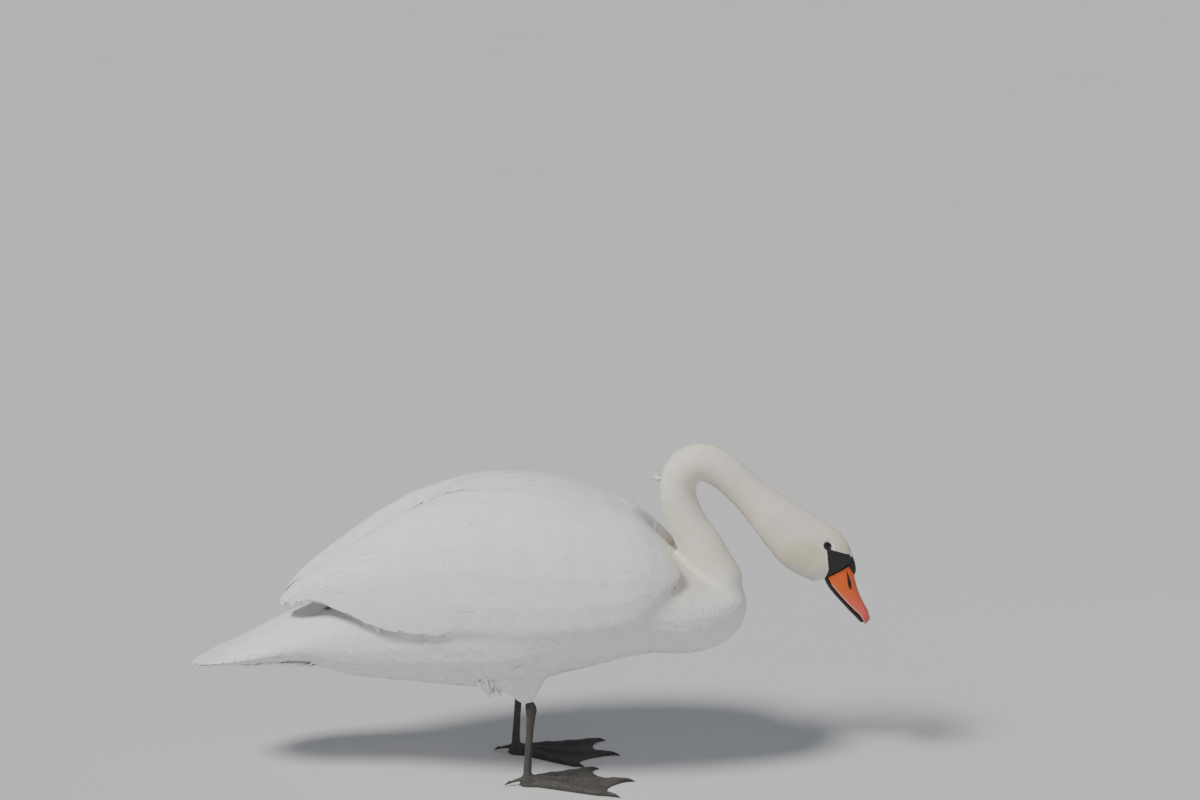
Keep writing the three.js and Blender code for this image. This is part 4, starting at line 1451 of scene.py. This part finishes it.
# Legs: distance from the middle, how far ahead each foot stands, and the toes' reach and
# their turn from the middle one in degrees. Claws are sections: distance past the toe's
# reach, or from the ankle on the hind toe, then height and radius in millimetres.
LEG_SPREAD = 0.069
STEP = {1: -0.020, -1: 0.0}
TOES = [(0.108, -29), (0.138, 0), (0.128, 28)]
TOE_IN = math.radians(5)
TOE_JOINTS = (0.36, 0.64, 0.86)
SCUTE = 0.0042
RING = 4.6
CLAW = [(-9, 2.6, 2.5), (-3, 3.4, 2.75), (1, 3.2, 2.5),
        (4, 2.5, 1.9), (7, 1.7, 1.2), (10, 0.8, 0.5)]
HIND_CLAW = [(24, 6.0, 2.3), (27, 5.0, 2.0), (30, 3.4, 1.2), (32, 2.2, 0.5)]
HIND_TURN = 172


def foot_frame(points, side):
    """Distance ahead of and across the middle toe, as on a left foot."""
    x, y = points[:, 0] - STEP[side], side * points[:, 1] - LEG_SPREAD
    return (x * math.cos(TOE_IN) - y * math.sin(TOE_IN),
            x * math.sin(TOE_IN) + y * math.cos(TOE_IN))


def make_leg(side, finish):
    """Webbed foot and bare shank in one leather skin, with scutes on toes and shank."""
    name = HANDS[side]
    points, faces = remeshed(*node_arrays(f"foot_{name}", f"shank_{name}"), LEG_VOXEL)
    points = relaxed(points, faces, 6, shrink=True)
    z = points[:, 2] * 1000
    ankle, hock = np.exp(-((z - 15) / 7) ** 2), np.exp(-((z - 108) / 10) ** 2)
    soft = np.minimum(ankle + hock, 1)[:, None] * 0.8
    points = relaxed(points, faces, 40, weight=soft, shrink=True)
    points[:, 2] = np.maximum(points[:, 2], FLOOR_GAP)
    normals = normals_of(points, faces)[0]
    ahead, across = foot_frame(points, side)
    raised = np.zeros(len(points))
    nearest = np.full(len(points), 1.0)
    for reach, turn in TOES:
        a = math.radians(turn)
        run = ahead * math.cos(a) + across * math.sin(a)
        off = np.abs(across * math.cos(a) - ahead * math.sin(a))
        toe = (1 - smooth(off, 0.0042, 0.0075)) * smooth(run, 0.012, 0.02)
        scute = np.abs(np.sin(np.pi * run / SCUTE)) ** 0.5
        joints = sum(np.exp(-((run - reach * at) / 0.006) ** 2) for at in TOE_JOINTS)
        raised = np.maximum(raised, toe * (0.35 * scute + 0.9 * joints + 0.5))
        nearest = np.minimum(nearest, off)
    far = np.hypot(ahead, across)
    web = smooth(nearest, 0.006, 0.009) * (ahead > 0.01)
    ripple = np.sin(far * 900 + 3 * np.sin(across * 260)) * 0.12 + np.sin(across * 1500) * 0.08
    on_foot = (raised + web * ripple) * smooth(normals[:, 2], 0.1, 0.5)
    z = points[:, 2] * 1000
    turn = np.arctan2(across, ahead - 0.004)
    ring = np.abs(np.sin(np.pi * z / RING + 0.5 * np.sin(turn))) ** 0.6
    column = np.abs(np.cos(turn * 3 + np.floor(z / RING) * 1.57)) ** 0.5
    knobs = np.abs(np.cos(turn * 2 + 0.6)) * np.exp(-((z - 110) / 8) ** 2) * 1.5
    on_shank = (0.35 * ring * column + knobs) * smooth(z, 20, 26)
    rise = mix(on_foot, on_shank, smooth(z, 16, 22))
    points = points + normals * rise[:, None] * MM
    piece(f"webbed_leg_{name}", points, faces, finish, "leg_skin",
          f"foot_{name}", f"shank_{name}")


def make_claws(side, finish):
    """A foot's claws, three ahead and one behind."""
    spurs = [(turn, [(reach * 1000 + past, z, radius) for past, z, radius in CLAW])
             for reach, turn in TOES] + [(HIND_TURN, HIND_CLAW)]
    turns = circle(18)
    parts = []
    for turn, sections in spurs:
        a = math.radians(turn) - TOE_IN
        ahead = np.array((math.cos(a), side * math.sin(a), 0.0))
        cross = np.array((-math.sin(a), side * math.cos(a), 0.0))
        ring = np.cos(turns)[:, None] * cross * 0.85 + np.sin(turns)[:, None] * (0, 0, 1)
        rings = [(ring * radius + ahead * run + (0, 0, z)) * MM
                 + (STEP[side], side * LEG_SPREAD, 0) for run, z, radius in sections]
        points, faces = loft(rings)
        points[:, 2] = np.maximum(points[:, 2], FLOOR_GAP)
        parts.append((points, faces if side < 0 else faces[:, ::-1]))
    piece(f"claws_{HANDS[side]}", *joined(parts), finish, "black_horn")


# ---------------------------------------------------------------- the bird

skin_material = skin_finish()
down_material = feather_finish("down_vanes", 0.55, 0.00007)
body_material = feather_finish("body_vanes", 0.9, 0.00011)
flight_material = feather_finish("flight_vanes", 1.5, 0.0002, shaft=1.0)
horn_material = bill_finish()
mandible_material = horn_finish("mandible_horn", HORN_BLACK, HORN_WORN, 0.38)
claw_material = horn_finish("claw_horn", CLAW_BLACK, CLAW_WORN, 0.42)
leather_material = leg_finish()

skin_points, skin_faces = make_skin()
skin_quads, skin_triangles = quads_and_triangles(skin_faces)
skin_form = Form(skin_points, skin_faces)
lid_points, lid_faces = joined([make_lids(side, skin_form) for side in HANDS])
piece("skin", np.concatenate([skin_points, lid_points]),
      [skin_quads, lid_faces + len(skin_points), skin_triangles], skin_material,
      "head_plumage", *FLESH)


def scattered(name, kind, spacing, wanted, per_gap, width, finish, unwrap, **shape):
    """A coat of vanes spread over the form: their length is per_gap times their spacing."""
    roots, faces = scatter(coat, spacing, wanted)
    gaps = spacing(roots)
    lengths = gaps * per_gap * (1 + 0.08 * random.normal(size=len(gaps)))
    return vanes(name, kind, lay_on(coat, roots, faces), unwrap(roots), lengths,
                 lengths * width, finish, **shape)


# Where each coat lies, and how far apart its roots are. Each takes places in metres.


def head_gap(p):
    x, y, z = p.T * 1000
    face = np.minimum(smooth(eye_distance(x, y, z), 8, 30), smooth(-bill_frame(x, z)[0], 4, 40))
    return mix(1.0, 1.6, face) * MM


def on_head(p):
    x, y, z = p.T * 1000
    return ((along_lie(p)[0] < 0.135) & (x > 300) & (z > 255) & (lore_depth(x, y, z) < -0.3)
            & (bill_frame(x, z)[0] < -1) & (eye_distance(x, y, z) > 6.4))


def on_neck(p):
    distance = along_lie(p)[0]
    return (distance > 0.128) & (distance < 0.47) & (p[:, 0] > 0.168) & (p[:, 2] > 0.20)


def neck_gap(p):
    return mix(1.65, 3.0, smooth(along_lie(p)[0], 0.13, 0.46)) * MM


def on_shoulder(p):
    return (from_shoulder(p) < 0.007) & (from_coverts(p) > 0.0045)


def on_breast(p):
    below_neck = (along_lie(p)[0] > 0.455) | (p[:, 0] < 0.176)
    return below_neck & (p[:, 0] > 0.09) & (from_shoulder(p) > 0.0065)


def on_flank(p):
    x, _, z = p.T * 1000
    rear_wing = (x < -190) & (x > -345) & (z > wing_at(np.clip(x, -340, 220))[3] - 4)
    return ((x <= 95) & (x > -385) & ~rear_wing & (from_coverts(p) > 0.0045)
            & (from_shoulder(p) > 0.0065))


def body_gap(p):
    x, y, z = p.T * 1000
    size = mix(4.0, 7.5, smooth(270 - x, 0, 190))
    size = mix(size, 11.5, smooth(-x, 120, 260))
    thigh = (1 - smooth(z, 165, 200)) * smooth(x, -85, -65) * (1 - smooth(x, 40, 60))
    return mix(size, 4.0, thigh * smooth(np.abs(y), 25, 40)) * MM


def shoulder_gap(p):
    return mix(6.0, 10.0, smooth(0.20 - p[:, 0], 0, 0.11)) * MM


scattered("coat_head", TUFT, head_gap, on_head, 4.4, 0.42, down_material,
          lambda p: round_unwrap(p, 0.0, 0.14), thick=0.06, root_depth=0.34, tip_lift=0.05,
          camber=0.05, shape=DOWN)
scattered("coat_neck", TUFT, neck_gap, on_neck, 4.6, 0.48, down_material,
          lambda p: round_unwrap(p, 0.12, 0.48), thick=0.08, root_depth=0.45, tip_lift=0.07,
          camber=0.08, shape=DOWN)
scattered("coat_breast", FULL, body_gap, on_breast, 3.8, 0.6, body_material, trunk_unwrap,
          thick=0.18, root_depth=0.95, tip_lift=0.25)
scattered("coat_shoulder", FULL, shoulder_gap, on_shoulder, 3.7, 0.66, body_material, trunk_unwrap,
          thick=0.2, root_depth=1.0, tip_lift=0.12, camber=0.15, ragged=0.03)
scattered("coat_flank", FULL, body_gap, on_flank, 3.8, 0.62, body_material, trunk_unwrap,
          thick=0.2, root_depth=1.2, tip_lift=0.6, ragged=0.1)


def tufts(name, start, end, count, spread, way, scatter_way, length, width, droop):
    """Loose vanes along a line beside the body, each leaving it the given way."""
    share = random.random((count, 1))
    near = mix(np.array(start), np.array(end), share) * MM
    near = near + random.normal(size=(count, 3)) * spread * MM
    roots, faces = coat.nearest(near)
    normals = coat.face_normals[faces]
    ways = unit(np.array(way) + random.normal(size=(count, 3)) * scatter_way)
    lengths = length * MM * (0.6 + 0.8 * random.random(count))
    return vanes(name, FULL, stand_out(roots, ways, normals, droop * MM), trunk_unwrap(roots),
                 lengths, lengths * width, down_material, 0.06, root_depth=0.0, tip_lift=0.1,
                 camber=0.1, ragged=0.06, bend=0.12, shape=WISP)


for side, word in HANDS.items():
    tufts(f"tuft_thigh_{word}", (-56, side * 78, 172), (-34, side * 72, 152), 90, 5.0,
          (0.15, side * 0.12, -0.95), 0.22, 13, 0.34, 0.7)
    tufts(f"tuft_undertail_{word}", (-382, side * 44, 166), (-285, side * 54, 168), 130, 4.0,
          (-0.97, side * 0.08, -0.24), 0.12, 14, 0.4, 0.6)
tufts("tuft_neck", (182, -3, 418), (180, 4, 415), 9, 1.6, (-0.97, 0.0, -0.05), 0.14, 13, 0.3, 0.5)

# Rows over a wing: start and end behind its front, gap between rows, and from the first
# row to the last, the vanes' length, width and spread, all in millimetres.
COVERTS = steps(150, 350, 14, (40, 74), (27, 36), (13, 18))
QUILLS = steps(345, 470, 21, (96, 140), (34, 30), (15, 13))
INNER = steps(330, 500, 28, (90, 120), (30, 28), (14, 13))
for side, word in HANDS.items():
    wing_coat(f"coverts_{word}", COVERTS, FULL, side, 0, body_material, 0.3, root_depth=1.6,
              tip_lift=0.2, camber=0.15, bend=0.02)
    wing_coat(f"quills_{word}", QUILLS, LONG, side, 0, flight_material, 0.35, root_depth=1.8,
              tip_lift=0.25, camber=0.2, ragged=0.015, bend=0.006, shape=QUILL)
    wing_coat(f"under_quills_{word}", INNER, LONG, side, 1, flight_material, 0.4,
              root_depth=1.2, tip_lift=0.3, camber=0.3, ragged=0.015, bend=0.006, shape=QUILL)
    core = wing_bed(f"wing_tip_core_{word}", side, body_material)
    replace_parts(core, f"wing_tip_{word}")
tail_coat("tail_quills", 1, flight_material)
tail_coat("tail_quills_under", -1, flight_material)
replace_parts(tail_bed(body_material), "tail")

make_upper_bill(horn_material)
piece("bill_lower_horn", *loft(bill_rings(MANDIBLE_TIP, lower_section)), mandible_material,
      "black_horn", "bill_lower")
for side in HANDS:
    make_eye(side, eye_finish(side))
    make_leg(side, leather_material)
    make_claws(side, claw_material)

# ---------------------------------------------------------------- stage

FLOOR_REACH, FLOOR_SIDES = 70, 96
KEY_POWER, KEY_WIDTH, KEY_COLOUR = 3.1, math.radians(16), (1.0, 0.98, 0.945)
KEY_TURN = (math.radians(40), 0, math.radians(-48))
SKY_COLOUR, SKY_POWER = (0.84, 0.89, 1.0, 1), 0.30
LENS, SENSOR = 81, 36
CAMERA_PLACE, CAMERA_TILT = (0.0994, -3.60, 1.225), math.radians(78.98)


def make_stage():
    """A round, pale, matt floor."""
    finish = Finish("studio_floor", Roughness=0.9, Specular_IOR_Level=0.2)
    drift = finish.noise(900.0, detail=3.0)
    finish.set(Base_Color=finish.colours(drift, FLOOR_GREY, FLOOR_PALE))
    turns = circle(FLOOR_SIDES)
    ring = np.stack([np.cos(turns), np.sin(turns), np.zeros(FLOOR_SIDES)], -1) * FLOOR_REACH
    floor = build("floor", ring, [np.arange(FLOOR_SIDES)[None]], finish.material)


def lamp(name, place, size, power, colour, aim):
    """A round soft lamp aimed at a place, not itself seen in glossy surfaces."""
    light = bpy.data.lights.new(name, "AREA")
    light.shape, light.size, light.energy, light.color = "DISK", size, power, colour
    holder = bpy.data.objects.new(name, light)
    holder.location = place
    holder.visible_glossy = False
    toward = np.array(aim) - np.array(place)
    yaw, level = math.atan2(toward[1], toward[0]), math.hypot(toward[0], toward[1])
    holder.rotation_euler = (math.atan2(level, -toward[2]), 0, yaw - math.pi / 2)
    bpy.context.scene.collection.objects.link(holder)


make_stage()
lamp("fill", (2.8, -2.2, 1.8), 2.5, 14, (0.93, 0.96, 1.0), (0.1, 0, 0.25))
sun = bpy.data.lights.new("key", "SUN")
sun.energy, sun.angle, sun.color = KEY_POWER, KEY_WIDTH, KEY_COLOUR
key = bpy.data.objects.new("key", sun)
key.rotation_euler = KEY_TURN
bpy.context.scene.collection.objects.link(key)
world = bpy.data.worlds.new("studio")
world.use_nodes = True
sky = world.node_tree.nodes["Background"]
sky.inputs["Color"].default_value = SKY_COLOUR
sky.inputs["Strength"].default_value = SKY_POWER
bpy.context.scene.world = world

camera = bpy.data.objects.new("camera", bpy.data.cameras.new("camera"))
camera.data.lens, camera.data.sensor_width = LENS, SENSOR
camera.location = CAMERA_PLACE
camera.rotation_euler = (CAMERA_TILT, 0, 0)
bpy.context.scene.collection.objects.link(camera)
bpy.context.scene.camera = camera
